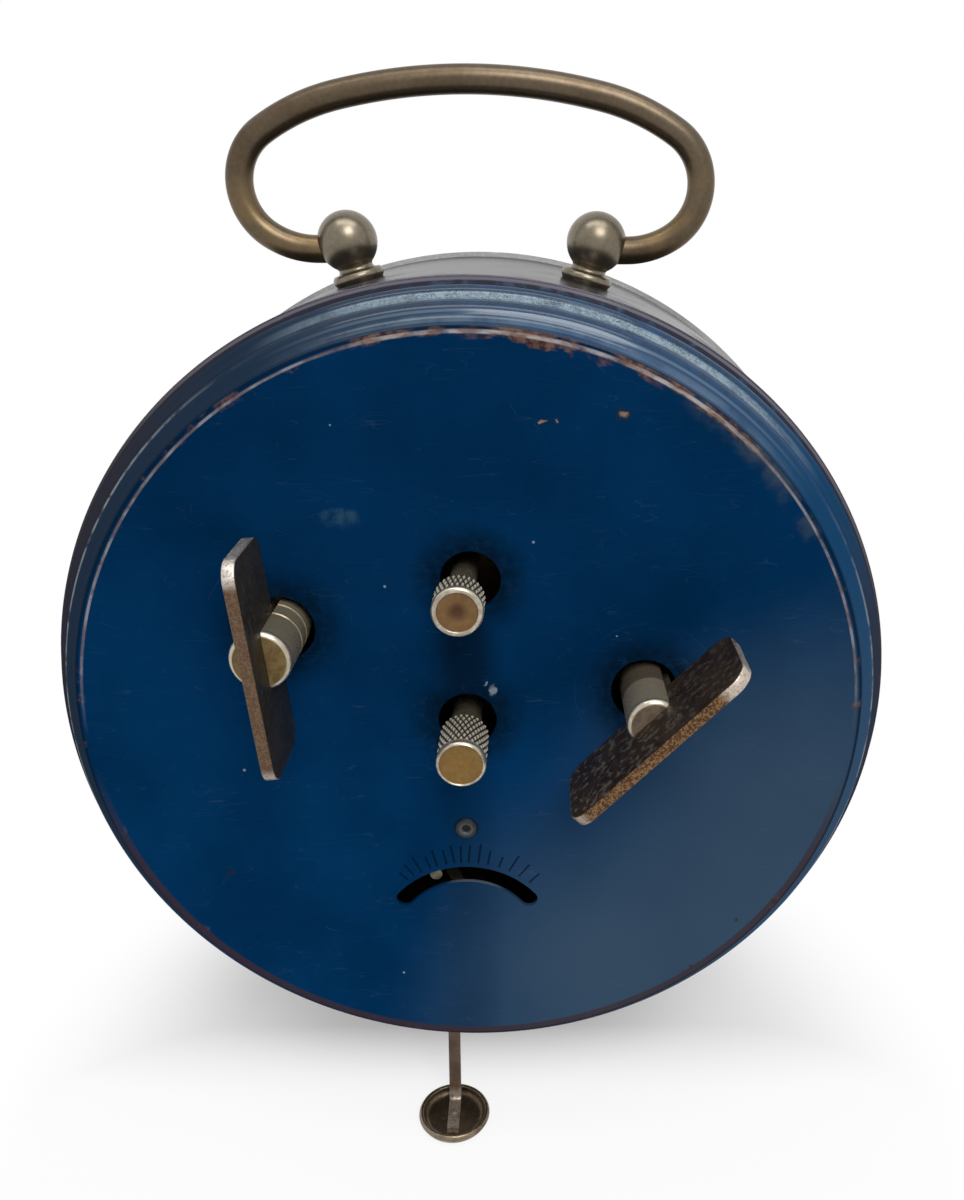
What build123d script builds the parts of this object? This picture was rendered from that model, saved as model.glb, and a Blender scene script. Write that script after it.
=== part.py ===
"""Round wind-up alarm clock with a folding bail handle, modelled piece by piece.

The dial faces -Y and the blue rear cover faces +Y. +Z is up and the origin is on the
table under the middle of the clock. All sizes are millimetres.

Places on the clock are given as (x, z) from the case's axis, as seen from the dial side,
and as a depth measured from the flat of the rear cover towards the dial.
"""

from build123d import *
from math import asin, atan2, cos, degrees, hypot, radians, sin, sqrt
import os

os.makedirs("parts", exist_ok=True)

# ---------------------------------------------------------------- driving dimensions
running_gap = 0.05           # radial gap of a shaft that turns in a bearing
seat_gap = 0.05              # radial gap between a pressed rim and what it slips into

# Case
drum_radius = 52.2
drum_wall = 0.7
drum_rear = 7.2              # depth of the drum's rear edge
case_clearance = 16.1        # height of the drum over the table
cover_wall = 0.6
cover_rim = 5.3              # width of the stepped rim round the cover's flat
cover_skirt = 1.5            # how far the cover's skirt slips into the drum
bezel_bulge = 0.6            # how far the bezel stands out past the drum
bezel_height = 3.0           # how far the bezel stands out in front of the drum
bezel_width = 5.2
bezel_skirt = 4.0
glass_seat = 1.5             # how far the glass reaches under the bezel
glass_thickness = 1.6
glass_recess = 2.1           # from the bezel's front to the glass
glass_room = 3.4             # from the minute hand to the glass

# Where the arbors stand
centre = (0.7, 0.0)
alarm_set = (0.7, 18.4)
time_barrel = (-21.2, 4.5)
alarm_barrel = (22.5, 12.5)
balance = (1.2, -32.4)

# Openings in the rear cover
centre_hole = (0.5, 0.5)
centre_hole_radius = 3.55
alarm_set_hole = (-0.2, 18.6)
alarm_set_hole_radius = 3.55
time_key_hole = (-20.9, 4.5)
alarm_key_hole = (22.2, 12.55)
key_hole_radius = 4.0
slot_radius = 10.6
slot_width = 2.3
slot_start = 41.0
slot_sweep = 99.0
tick_count = 14
tick_start = 12.5
tick_length = 1.8
tick_width = 0.25
tick_depth = 0.15
cover_screw_place = (1.0, -14.8)
cover_screw_head = 1.5
cover_screw_shank = 0.7

# Setting knobs
knob_radius = 2.9
time_knob_rear = -10.3
time_knob_front = -3.0
alarm_knob_rear = -9.9
alarm_knob_front = -5.2
knob_dish = 0.3
time_shaft_radius = 1.85
alarm_shaft_radius = 1.6

# Winding keys
time_key_radius = 3.1
time_key_face = -9.3
alarm_key_radius = 3.5
alarm_key_face = -9.6
key_hub_front = 3.5
key_arbor_radius = 2.0
key_arbor_rear = -2.4
wing_thickness = 1.4
wing_length = 25.9
wing_corner = 2.4
time_wing_rear = -16.0
time_wing_front = -4.8
time_wing_angle = 134.3
alarm_wing_rear = -14.5
alarm_wing_front = -3.2
alarm_wing_angle = 84.6
key_groove_depth = 0.35
key_groove_width = 0.9
key_groove_front = -0.6

# Handle and its posts
handle_depth = 21.5
handle_rod = 3.3
handle_drop = 0.92           # how far the pivot line lies under the balls' middle
handle_rise = 19.0           # height of the handle over its pivot line
handle_side_reach = 12.54     # from the balls' middle to the handle's widest place
handle_top_radius = 64.0
handle_side_radius = 7.0
handle_grip = 1.86           # how far a rod end reaches past its ball's middle
handle_lead_reach = 3.74     # from the balls' middle to the first bend
post_angle = 15.5
post_ball_radius = 3.65
post_ball_height = 4.9       # height of a ball's middle over the drum
post_collar_radius = 3.2
post_collar_height = 1.3
post_neck_radius = 2.2
stud_radius = 1.3
stud_length = 5.8            # how far a post's stud reaches in from the drum

# Feet
foot_angle = 17.0
foot_depth = 34.6
foot_ball_radius = 2.6
foot_flat = 0.5              # height cut off the ball where it rests on the table
foot_neck_radius = 1.7
nut_radius = 2.9
nut_height = 1.2
leg_x = 4.2
leg_width = 1.7
leg_thickness = 1.0
leg_screw_depth = 16.0
leg_eye_radius = 2.3
leg_screw_radius = 0.8
pad_depth = 5.0
pad_radius = 5.2
pad_floor = 0.6
pad_height = 1.8

# Movement frame
rear_plate_depth = 9.0
plate_thickness = 1.2
front_plate_depth = 29.0
plate_clearance = 5.0        # from the plates' edge to the drum
pillar_radius = 2.5
pillar_inset = 3.5           # from the plates' edge to the middle of a low pillar
low_pillar_angles = (250.0, 292.0)
time_pillar_reach = 23.6     # from a barrel's arbor to the pillar that holds its spring
time_pillar_angle = 230.0
alarm_pillar_reach = 20.5
alarm_pillar_angle = 90.0
window_radius = 6.0
window_inset = 9.0           # from the plates' edge to the middle of a window
window_angles = (135.0, 220.0, 315.0)
top_pillar_radius = 3.0
pillar_stud = 1.2
end_shake = 0.2
pivot_radius = 0.4
arbor_radius = 0.6
dial_thickness = 0.5
dial_clearance = 1.6         # from the dial's edge to the drum
dial_foot_radius = 1.2
dial_foot_inset = 2.5        # from the plates' edge to the middle of a dial foot

# Going train, teeth and modules
great_teeth = 60
centre_pinion_teeth = 10
centre_teeth = 64
third_pinion_teeth = 8
centre_module = 0.42
third_teeth = 60
fourth_pinion_teeth = 8
third_module = 0.34
fourth_teeth = 60
escape_pinion_teeth = 6
fourth_module = 0.33
escape_teeth = 15
escape_radius = 4.7
third_angle = -125.0
fourth_angle = -30.0
escape_angle = -30.0
escape_tooth = 1.25
escape_tooth_lean = -8.0      # degrees the tooth tips lean back
escape_tooth_offset = 12.0   # degrees from the pallets to a tooth's root
pallet_distance = 5.5
pallet_angle = -98.0

# Motion work under the dial
cannon_teeth = 12
minute_teeth = 36
minute_pinion_teeth = 10
hour_teeth = 40
minute_angle = 200.0

# Alarm train
alarm_great_teeth = 54
alarm_pinion_teeth = 9
alarm_module = 0.6
alarm_escape_teeth = 15
alarm_escape_radius = 5.0
alarm_escape_angle = -60.0
hammer_distance = 6.5
hammer_angle = -50.0
hammer_gap = 0.85703         # from the hammer's head at rest to the drum that it strikes
hammer_arm_angle = -84.0
hammer_head_radius = 2.0

# Layers of the movement, as depths
spring_rear = 11.5
spring_front = 18.5
third_layer = 19.4
centre_layer = 21.6
fourth_layer = 23.8
great_layer = 24.6
ratchet_layer = 26.3
wheel_thickness = 1.0
hairspring_layer = 11.0
balance_layer = 13.0
roller_layer = 15.4
lever_layer = 17.0
escape_layer = 18.4
thin_wheel = 0.6
verge_layer = 18.4
alarm_escape_layer = 20.0
hammer_layer = 13.0
motion_gap = 0.8             # from the front plate to the minute wheel
hour_gap = 1.2               # from the minute wheel to the hour wheel
dial_gap = 1.8               # from the hour wheel to the dial
hand_thickness = 0.5
hand_gap = 0.5               # from the dial to the alarm hand, and between the lower hands
minute_hand_gap = 0.5

# Springs, ratchets and balance
spring_thickness = 0.35
spring_pitch = 1.2
spring_half_turns = 21
ratchet_teeth = 12
ratchet_tip = 6.0
ratchet_root = 5.0
click_stud = (6.9, 7.5)      # from the ratchet's centre, with the beak along x
click_stud_radius = 0.8
time_click_angle = 100.0
alarm_click_angle = 250.0
balance_radius = 9.0
balance_rim = 1.0
roller_radius = 2.0
impulse_radius = 1.3
impulse_pin = 0.22
fork_slot = 0.9
pallet_pin_radius = 0.25
pallet_pin_gap = 0.65        # from the escape wheel's tips to a pin's centre
verge_pin_gap = 0.8
anchor_margin = 0.55
pallet_spread = 31.0         # half the angle between the pins, about the escape wheel
hairspring_pitch = 0.5
hairspring_half_turns = 11
hairspring_thickness = 0.15
regulator_angle = 68.0

# Hands, as lengths and clock angles
minute_hand_length = 38.0
hour_hand_length = 26.0
alarm_hand_length = 8.5
minute_hand_angle = 60.0
hour_hand_angle = 305.0
alarm_hand_angle = 210.0
cannon_pipe = 1.75
hour_pipe = 2.3
hand_arbor = 1.2
alarm_hand_arbor = 0.8

# ---------------------------------------------------------------- places that follow
front_plate_front = front_plate_depth + plate_thickness
rear_plate_front = rear_plate_depth + plate_thickness
minute_layer = front_plate_front + motion_gap
hour_layer = minute_layer + wheel_thickness + hour_gap
dial_depth = hour_layer + wheel_thickness + dial_gap
alarm_hand_depth = dial_depth + dial_thickness + hand_gap
hour_hand_depth = alarm_hand_depth + hand_thickness + hand_gap
minute_hand_depth = hour_hand_depth + hand_thickness + minute_hand_gap
glass_front = minute_hand_depth + hand_thickness + glass_room
bezel_front = glass_front + glass_recess
drum_front = bezel_front - bezel_height
rear_y = (bezel_front + time_wing_rear) / 2

axis_height = drum_radius + case_clearance
drum_bore = drum_radius - drum_wall
skirt_radius = drum_bore - seat_gap
cover_flat_radius = drum_radius - cover_rim
bezel_opening = drum_radius - bezel_width
glass_radius = bezel_opening + glass_seat
dial_radius = drum_bore - dial_clearance
plate_radius = drum_bore - plate_clearance
dial_foot_distance = plate_radius - dial_foot_inset
post_ball_distance = drum_radius + post_ball_height
post_ball_side = post_ball_distance * sin(radians(post_angle))
handle_end = post_ball_side - handle_grip
handle_lead = post_ball_side + handle_lead_reach
handle_half_width = post_ball_side + handle_side_reach
handle_pivot = post_ball_distance * cos(radians(post_angle)) - handle_drop
handle_top = handle_pivot + handle_rise


def point(place, depth):
    """The place (x, z) from the case's axis at a depth, in the part's frame."""
    return (place[0], rear_y - depth, axis_height + place[1])


def layer(depth):
    """The plane square to the case's axis at a depth, seen from the dial side."""
    return Plane(origin=point((0, 0), depth), x_dir=(1, 0, 0), z_dir=(0, -1, 0))


def turning_plane(place=(0, 0)):
    """A plane through an arbor for turned outlines: x is the radius, y is the depth."""
    return Plane(origin=point(place, 0), x_dir=(1, 0, 0), z_dir=(0, 0, -1))


def arbor_axis(place=(0, 0)):
    return Axis(point(place, 0), (0, -1, 0))


def polar(place, distance, angle):
    return (place[0] + distance * cos(radians(angle)), place[1] + distance * sin(radians(angle)))


def heading(start, end):
    return degrees(atan2(end[1] - start[1], end[0] - start[0]))


def span(start, end):
    return hypot(end[0] - start[0], end[1] - start[1])


def mesh_distance(module, teeth, other_teeth):
    return module * (teeth + other_teeth) / 2


great_module = 2 * span(time_barrel, centre) / (great_teeth + centre_pinion_teeth)
third = polar(centre, mesh_distance(centre_module, centre_teeth, third_pinion_teeth), third_angle)
fourth = polar(third, mesh_distance(third_module, third_teeth, fourth_pinion_teeth), fourth_angle)
escape = polar(fourth, mesh_distance(fourth_module, fourth_teeth, escape_pinion_teeth), escape_angle)
pallet = polar(escape, pallet_distance, pallet_angle)
alarm_escape = polar(
    alarm_barrel, mesh_distance(alarm_module, alarm_great_teeth, alarm_pinion_teeth), alarm_escape_angle
)
hammer_pivot = polar(alarm_escape, hammer_distance, hammer_angle)
hammer_reach = drum_bore - hammer_gap - hammer_head_radius
hammer_slope = hammer_pivot[0] * cos(radians(hammer_arm_angle)) + hammer_pivot[1] * sin(
    radians(hammer_arm_angle)
)
hammer_length = sqrt(hammer_slope**2 + hammer_reach**2 - span((0, 0), hammer_pivot) ** 2) - hammer_slope
hour_module = span(centre, alarm_set) / hour_teeth
motion_distance = mesh_distance(hour_module, hour_teeth, minute_pinion_teeth)
minute_module = 2 * motion_distance / (cannon_teeth + minute_teeth)
minute_place = polar(centre, motion_distance, minute_angle)

top_pillar_reach = drum_bore - 0.1 - top_pillar_radius
top_pillars = [polar((0, 0), top_pillar_reach, 90 + side * post_angle) for side in (-1, 1)]
time_pillar = polar(time_barrel, time_pillar_reach, time_pillar_angle)
alarm_pillar = polar(alarm_barrel, alarm_pillar_reach, alarm_pillar_angle)
low_pillars = [polar((0, 0), plate_radius - pillar_inset, angle) for angle in low_pillar_angles]
side_pillars = [time_pillar, alarm_pillar] + low_pillars
windows = [polar((0, 0), plate_radius - window_inset, angle) for angle in window_angles]


def mesh_phase(phase, teeth, other_teeth, angle):
    """Tooth angle of the driven wheel, so that its gap meets the driver's tooth."""
    pitch = 360 / teeth
    offset = ((angle - phase) / pitch) % 1
    return angle + 180 + (offset + 0.5) * 360 / other_teeth


def gear_outline(place, teeth, module, phase, half_width=0.19, addendum=0.8):
    """Corner points of a clock wheel or pinion with play between its teeth."""
    pitch_radius = module * teeth / 2
    root = pitch_radius - 1.15 * module
    tip = pitch_radius + addendum * module
    corners = [(root, -half_width - 0.02), (pitch_radius, -half_width), (tip, -0.08)]
    corners += [(radius, -width) for radius, width in reversed(corners)]
    return [
        polar(place, radius, phase + (tooth + width) * 360 / teeth)
        for tooth in range(teeth)
        for radius, width in corners
    ]


def pinion_outline(place, teeth, module, phase):
    return gear_outline(place, teeth, module, phase, half_width=0.14, addendum=0.6)


def saw_outline(place, teeth, root, tip, phase, lean=0.0):
    """Corner points of a ratchet or escape wheel: one steep face per tooth."""
    points = []
    for tooth in range(teeth):
        angle = phase + tooth * 360 / teeth
        points += [polar(place, tip, angle + lean), polar(place, root, angle)]
    return points


# ---------------------------------------------------------------- rear cover
with BuildPart() as rear_cover:
    with BuildSketch(turning_plane()) as cover_profile:
        with BuildLine():
            Line((0, 0), (cover_flat_radius, 0))
            for (start, middle, end) in (
                ((0, 0), (0.4, -0.15), (0.8, 0.1)),
                ((0.8, 0.1), (1.2, 1.0), (1.9, 1.5)),
                ((1.9, 1.5), (2.6, 2.0), (3.0, 2.9)),
                ((3.0, 2.9), (3.25, 3.6), (3.7, 4.2)),
                ((3.7, 4.2), (4.2, 4.6), (4.4, 5.3)),
            ):
                ThreePointArc(*((cover_flat_radius + out, depth) for out, depth in (start, middle, end)))
            Polyline(
                (drum_radius - 0.9, 5.3),
                (drum_radius - 0.85, 5.9),
                (drum_radius - 0.55, 6.1),
                (drum_radius - 0.5, drum_rear - 0.7),
                (drum_radius - 0.2, drum_rear - 0.5),
                (drum_radius - 0.2, drum_rear),
                (skirt_radius, drum_rear),
                (skirt_radius, drum_rear + cover_skirt),
                (skirt_radius - cover_wall, drum_rear + cover_skirt),
                (skirt_radius - cover_wall, drum_rear - 1.1),
                (cover_flat_radius + 3.5, 5.1),
                (cover_flat_radius + 2.4, 3.5),
                (cover_flat_radius + 1.2, 2.2),
                (cover_flat_radius + 0.4, 1.3),
                (cover_flat_radius - 0.2, cover_wall),
                (0, cover_wall),
                (0, 0),
            )
        make_face()
    revolve(axis=arbor_axis())
    with BuildSketch(layer(0)):
        with Locations(centre_hole):
            Circle(centre_hole_radius)
        with Locations(alarm_set_hole):
            Circle(alarm_set_hole_radius)
        with Locations(time_key_hole, alarm_key_hole):
            Circle(key_hole_radius)
        with Locations(cover_screw_place):
            Circle(cover_screw_shank + running_gap)
        SlotArc(CenterArc(balance, slot_radius, slot_start, slot_sweep, mode=Mode.PRIVATE), slot_width)
    extrude(amount=cover_wall, mode=Mode.SUBTRACT)
    with BuildSketch(layer(0)):
        with Locations(balance):
            with PolarLocations(
                tick_start + tick_length / 2, tick_count, slot_start + 2, slot_sweep - 4, endpoint=True
            ):
                Rectangle(tick_length, tick_width)
    extrude(amount=tick_depth, mode=Mode.SUBTRACT)

# ---------------------------------------------------------------- drum, bezel and glass
with BuildPart() as case_drum:
    with BuildSketch(layer(drum_rear)):
        Circle(drum_radius)
        Circle(drum_bore, mode=Mode.SUBTRACT)
    extrude(amount=drum_front - drum_rear)
    for side in (-1, 1):
        post_tilt = side * post_angle
        post_hole = Plane(
            origin=point((0, 0), handle_depth), z_dir=(sin(radians(post_tilt)), 0, cos(radians(post_tilt)))
        )
        foot_tilt = side * foot_angle
        foot_hole = Plane(
            origin=point((0, 0), foot_depth), z_dir=(sin(radians(foot_tilt)), 0, -cos(radians(foot_tilt)))
        )
        with BuildSketch(post_hole, foot_hole):
            Circle(stud_radius + running_gap)
        extrude(amount=drum_radius + 1, mode=Mode.SUBTRACT)
    with BuildSketch(Plane(origin=point((leg_x, 0), leg_screw_depth), z_dir=(0, 0, -1))):
        Circle(leg_screw_radius + running_gap)
    extrude(amount=drum_radius + 1, mode=Mode.SUBTRACT)

with BuildPart() as front_bezel:
    with BuildSketch(turning_plane()):
        with BuildLine():
            Line((drum_radius, drum_front), (drum_radius + bezel_bulge, drum_front + 0.7))
            ThreePointArc(
                (drum_radius + bezel_bulge, drum_front + 0.7),
                (drum_radius, bezel_front - 0.7),
                (bezel_opening + 3.4, bezel_front),
            )
            ThreePointArc(
                (bezel_opening + 3.4, bezel_front),
                (bezel_opening + 1.8, bezel_front - 0.5),
                (bezel_opening + 0.6, bezel_front - 1.3),
            )
            Polyline(
                (bezel_opening + 0.6, bezel_front - 1.3),
                (bezel_opening, bezel_front - 1.5),
                (bezel_opening, glass_front),
                (glass_radius + seat_gap, glass_front),
                (glass_radius + seat_gap, glass_front - glass_thickness),
                (skirt_radius - 1.1, glass_front - glass_thickness),
                (skirt_radius - 1.1, drum_front - bezel_skirt),
                (skirt_radius, drum_front - bezel_skirt),
                (skirt_radius, drum_front),
                (drum_radius, drum_front),
            )
        make_face()
    revolve(axis=arbor_axis())

with BuildPart() as glass:
    with BuildSketch(layer(glass_front - glass_thickness)):
        Circle(glass_radius)
    extrude(amount=glass_thickness)

with BuildPart() as dial_ring:
    with BuildSketch(turning_plane()):
        with BuildLine():
            Polyline(
                (dial_radius, dial_depth + dial_thickness),
                (dial_radius, glass_front - glass_thickness),
                (bezel_opening + 0.8, glass_front - glass_thickness),
                (bezel_opening - 0.6, dial_depth + dial_thickness),
                close=True,
            )
        make_face()
    revolve(axis=arbor_axis())

with BuildPart() as dial:
    with BuildSketch(layer(dial_depth)):
        Circle(dial_radius)
        with Locations(centre):
            Circle(hour_pipe + 0.4, mode=Mode.SUBTRACT)
        with Locations(alarm_set):
            Circle(alarm_hand_arbor + 0.3, mode=Mode.SUBTRACT)
    extrude(amount=dial_thickness)

with BuildPart() as dial_feet:
    with BuildSketch(layer(front_plate_front)):
        with PolarLocations(dial_foot_distance, 3, 30):
            Circle(dial_foot_radius)
    extrude(amount=dial_depth - front_plate_front)

# ---------------------------------------------------------------- handle and its posts
side_centre = handle_half_width - handle_side_radius
side_angle = degrees(asin(side_centre / (handle_top_radius - handle_side_radius)))
side_centre_height = (
    handle_top - handle_top_radius + (handle_top_radius - handle_side_radius) * cos(radians(side_angle))
)
rise = handle_pivot - side_centre_height
lead_radius = (handle_side_radius**2 - (side_centre - handle_lead) ** 2 - rise**2) / (
    2 * (rise + handle_side_radius)
)
lead_turn = 90 - degrees(
    atan2(handle_pivot + lead_radius - side_centre_height, side_centre - handle_lead)
)
side_turn = 180 - side_angle - lead_turn

with BuildPart() as handle:
    with BuildLine(layer(handle_depth)) as handle_path:
        lead = Line((handle_end, handle_pivot), (handle_lead, handle_pivot))
        low_bend = JernArc(lead @ 1, lead % 1, lead_radius, lead_turn)
        side_bend = JernArc(low_bend @ 1, low_bend % 1, handle_side_radius, side_turn)
        JernArc(side_bend @ 1, side_bend % 1, handle_top_radius, side_angle)
    with BuildSketch(Plane(origin=handle_path.line @ 0, z_dir=(1, 0, 0))):
        Circle(handle_rod / 2)
    sweep(path=handle_path.line)
    mirror(about=Plane.YZ)


def handle_post(side):
    """Ball post with a collar; its stud runs through the drum into the top pillar."""
    tilt = side * post_angle
    radial = (sin(radians(tilt)), 0, cos(radians(tilt)))
    across = (cos(radians(tilt)), 0, -sin(radians(tilt)))
    foot_of_axis = point((0, 0), handle_depth)
    ball_base = post_ball_distance - sqrt(post_ball_radius**2 - post_neck_radius**2)
    with BuildPart() as post:
        with BuildSketch(Plane(origin=foot_of_axis, x_dir=across, z_dir=(0, -1, 0))):
            with BuildLine():
                Polyline(
                    (0, post_ball_distance + post_ball_radius),
                    (0, drum_radius - stud_length),
                    (stud_radius, drum_radius - stud_length),
                    (stud_radius, drum_radius),
                    (post_collar_radius, drum_radius),
                    (post_collar_radius, drum_radius + post_collar_height - 0.3),
                    (post_collar_radius - 0.3, drum_radius + post_collar_height),
                    (post_neck_radius, drum_radius + post_collar_height),
                    (post_neck_radius, ball_base),
                )
                ThreePointArc(
                    (post_neck_radius, ball_base),
                    (post_ball_radius, post_ball_distance),
                    (0, post_ball_distance + post_ball_radius),
                )
            make_face()
        revolve(axis=Axis(foot_of_axis, radial))
        with BuildSketch(
            Plane(
                origin=point((side * (handle_end - 0.2), handle_pivot), handle_depth), z_dir=(side, 0, 0)
            )
        ):
            Circle(handle_rod / 2 + running_gap)
        extrude(amount=2 * post_ball_radius, mode=Mode.SUBTRACT)
    return post


handle_post_left = handle_post(-1)
handle_post_right = handle_post(1)


# ---------------------------------------------------------------- feet
def front_foot(side):
    """Turned foot with a ball end, cut flat where it rests on the table."""
    tilt = side * foot_angle
    radial = (sin(radians(tilt)), 0, -cos(radians(tilt)))
    across = (cos(radians(tilt)), 0, sin(radians(tilt)))
    foot_of_axis = point((0, 0), foot_depth)
    ball_distance = (axis_height + foot_flat - foot_ball_radius) / cos(radians(foot_angle))
    ball_base = ball_distance - sqrt(foot_ball_radius**2 - foot_neck_radius**2)
    with BuildPart() as foot:
        with BuildSketch(Plane(origin=foot_of_axis, x_dir=across, z_dir=(0, 1, 0))):
            with BuildLine():
                Polyline(
                    (0, ball_distance + foot_ball_radius),
                    (0, dial_radius + 0.2),
                    (stud_radius, dial_radius + 0.2),
                    (stud_radius, drum_radius),
                    (post_collar_radius, drum_radius),
                    (post_collar_radius, drum_radius + post_collar_height),
                    (foot_neck_radius, drum_radius + 2 * post_collar_height),
                    (foot_neck_radius + 0.6, (drum_radius + ball_distance) / 2),
                    (foot_neck_radius, ball_base),
                )
                ThreePointArc(
                    (foot_neck_radius, ball_base),
                    (foot_ball_radius, ball_distance),
                    (0, ball_distance + foot_ball_radius),
                )
            make_face()
        revolve(axis=Axis(foot_of_axis, radial))
        split(bisect_by=Plane.XY, keep=Keep.TOP)
    return foot


front_foot_left = front_foot(-1)
front_foot_right = front_foot(1)

leg_seat = axis_height - drum_radius
with BuildPart() as rear_leg:
    with BuildLine(Plane(origin=(leg_x, rear_y, 0), x_dir=(0, -1, 0), z_dir=(-1, 0, 0))) as leg_path:
        FilletPolyline(
            (pad_depth - 3.2, pad_floor + leg_thickness / 2),
            (pad_depth + 2.6, pad_floor + leg_thickness / 2),
            (pad_depth + 3.6, leg_seat / 2),
            (pad_depth + 4.6, leg_seat - leg_thickness / 2),
            (leg_screw_depth, leg_seat - leg_thickness / 2),
            radius=1.2,
        )
    with BuildSketch(Plane(origin=leg_path.line @ 0, x_dir=(1, 0, 0), z_dir=leg_path.line % 0)):
        Rectangle(leg_width, leg_thickness)
    sweep(path=leg_path.line)
    with BuildSketch(Plane(origin=(leg_x, rear_y - leg_screw_depth, leg_seat - leg_thickness))):
        Circle(leg_eye_radius)
    extrude(amount=leg_thickness)
    with BuildSketch(Plane(origin=(leg_x, rear_y - leg_screw_depth, leg_seat - leg_thickness))):
        Circle(leg_screw_radius + running_gap)
    extrude(amount=leg_thickness, mode=Mode.SUBTRACT)
    with BuildSketch(Plane(origin=(leg_x, rear_y - pad_depth, pad_floor))):
        Circle(0.45)
    extrude(amount=leg_thickness, mode=Mode.SUBTRACT)

with BuildPart() as rear_foot_pad:
    with BuildSketch(Plane(origin=(leg_x, rear_y - pad_depth, 0), x_dir=(1, 0, 0), z_dir=(0, -1, 0))):
        with BuildLine():
            Polyline((0.45, pad_floor), (0.45, 0), (pad_radius - 1.2, 0))
            ThreePointArc(
                (pad_radius - 1.2, 0), (pad_radius - 0.35, 0.35), (pad_radius, pad_height - 0.4)
            )
            ThreePointArc(
                (pad_radius, pad_height - 0.4),
                (pad_radius - 0.4, pad_height),
                (pad_radius - 0.8, pad_height - 0.4),
            )
            Polyline(
                (pad_radius - 0.8, pad_height - 0.4), (pad_radius - 1.5, pad_floor), (0.45, pad_floor)
            )
        make_face()
    revolve(axis=Axis((leg_x, rear_y - pad_depth, 0), (0, 0, 1)))

with BuildPart() as pad_rivet:
    with BuildSketch(Plane(origin=(leg_x, rear_y - pad_depth, 0))):
        Circle(0.45)
    extrude(amount=pad_floor + leg_thickness)
    with BuildSketch(Plane(origin=(leg_x, rear_y - pad_depth, pad_floor + leg_thickness))):
        Circle(0.6)
    extrude(amount=0.3)

with BuildPart() as rear_leg_screw:
    with BuildSketch(Plane(origin=(leg_x, rear_y - leg_screw_depth, leg_seat - leg_thickness))):
        Circle(leg_screw_radius)
    extrude(amount=leg_thickness + drum_wall + nut_height + 0.6)
    with BuildSketch(Plane(origin=(leg_x, rear_y - leg_screw_depth, leg_seat - leg_thickness))):
        Circle(2 * leg_screw_radius)
    extrude(amount=-0.8)
    with BuildSketch(Plane(origin=(leg_x, rear_y - leg_screw_depth, leg_seat - leg_thickness - 0.8))):
        Rectangle(4 * leg_screw_radius, 0.4)
    extrude(amount=0.4, mode=Mode.SUBTRACT)

with BuildPart() as case_nuts:
    for side in (-1, 1):
        tilt = side * foot_angle
        inward = (-sin(radians(tilt)), 0, cos(radians(tilt)))
        start = polar((0, 0), drum_bore - 0.1, -90 + tilt)
        with BuildSketch(Plane(origin=point(start, foot_depth), x_dir=(0, 1, 0), z_dir=inward)):
            RegularPolygon(nut_radius, 6)
            Circle(stud_radius, mode=Mode.SUBTRACT)
        extrude(amount=nut_height)
    nut_seat = axis_height - sqrt(drum_bore**2 - (leg_x + nut_radius) ** 2) + 0.1
    with BuildSketch(Plane(origin=(leg_x, rear_y - leg_screw_depth, nut_seat))):
        RegularPolygon(2.2, 6)
        Circle(leg_screw_radius, mode=Mode.SUBTRACT)
    extrude(amount=nut_height)

# ---------------------------------------------------------------- movement frame
with BuildPart() as rear_plate:
    with BuildSketch(layer(rear_plate_depth)):
        Circle(plate_radius)
        with Locations(*top_pillars):
            Circle(top_pillar_radius)
        with Locations(*top_pillars, *side_pillars):
            Circle(pillar_stud + running_gap, mode=Mode.SUBTRACT)
        with Locations(time_barrel, alarm_barrel):
            Circle(key_arbor_radius + running_gap, mode=Mode.SUBTRACT)
        with Locations(centre):
            Circle(time_shaft_radius + running_gap, mode=Mode.SUBTRACT)
        with Locations(alarm_set):
            Circle(alarm_shaft_radius + running_gap, mode=Mode.SUBTRACT)
        with Locations(third, fourth, escape, pallet, alarm_escape, hammer_pivot):
            Circle(pivot_radius + running_gap, mode=Mode.SUBTRACT)
        with Locations(cover_screw_place):
            Circle(1.0, mode=Mode.SUBTRACT)
        with Locations(*windows):
            Circle(window_radius, mode=Mode.SUBTRACT)
    extrude(amount=plate_thickness)
    with BuildSketch(layer(rear_plate_depth - 1.6)):
        with Locations(balance):
            Circle(1.6)
    extrude(amount=1.6)
    with BuildSketch(layer(rear_plate_depth - 1.6)):
        with Locations(balance):
            Circle(pivot_radius + running_gap)
    extrude(amount=1.6 + plate_thickness, mode=Mode.SUBTRACT)

with BuildPart() as front_plate:
    with BuildSketch(layer(front_plate_depth)):
        Circle(plate_radius)
        with Locations(*top_pillars):
            Circle(top_pillar_radius)
        with Locations(*top_pillars, *side_pillars):
            Circle(pillar_stud + running_gap, mode=Mode.SUBTRACT)
        with Locations(time_barrel, alarm_barrel, centre):
            Circle(hand_arbor + running_gap, mode=Mode.SUBTRACT)
        with Locations(alarm_set):
            Circle(alarm_hand_arbor + running_gap, mode=Mode.SUBTRACT)
        with Locations(third, fourth, escape, pallet, balance, alarm_escape, hammer_pivot):
            Circle(pivot_radius + running_gap, mode=Mode.SUBTRACT)
        with Locations(*windows):
            Circle(window_radius, mode=Mode.SUBTRACT)
    extrude(amount=plate_thickness)
    with BuildSketch(layer(front_plate_front)):
        with Locations(minute_place):
            Circle(alarm_hand_arbor)
    extrude(amount=dial_depth - front_plate_front - 1)

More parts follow.
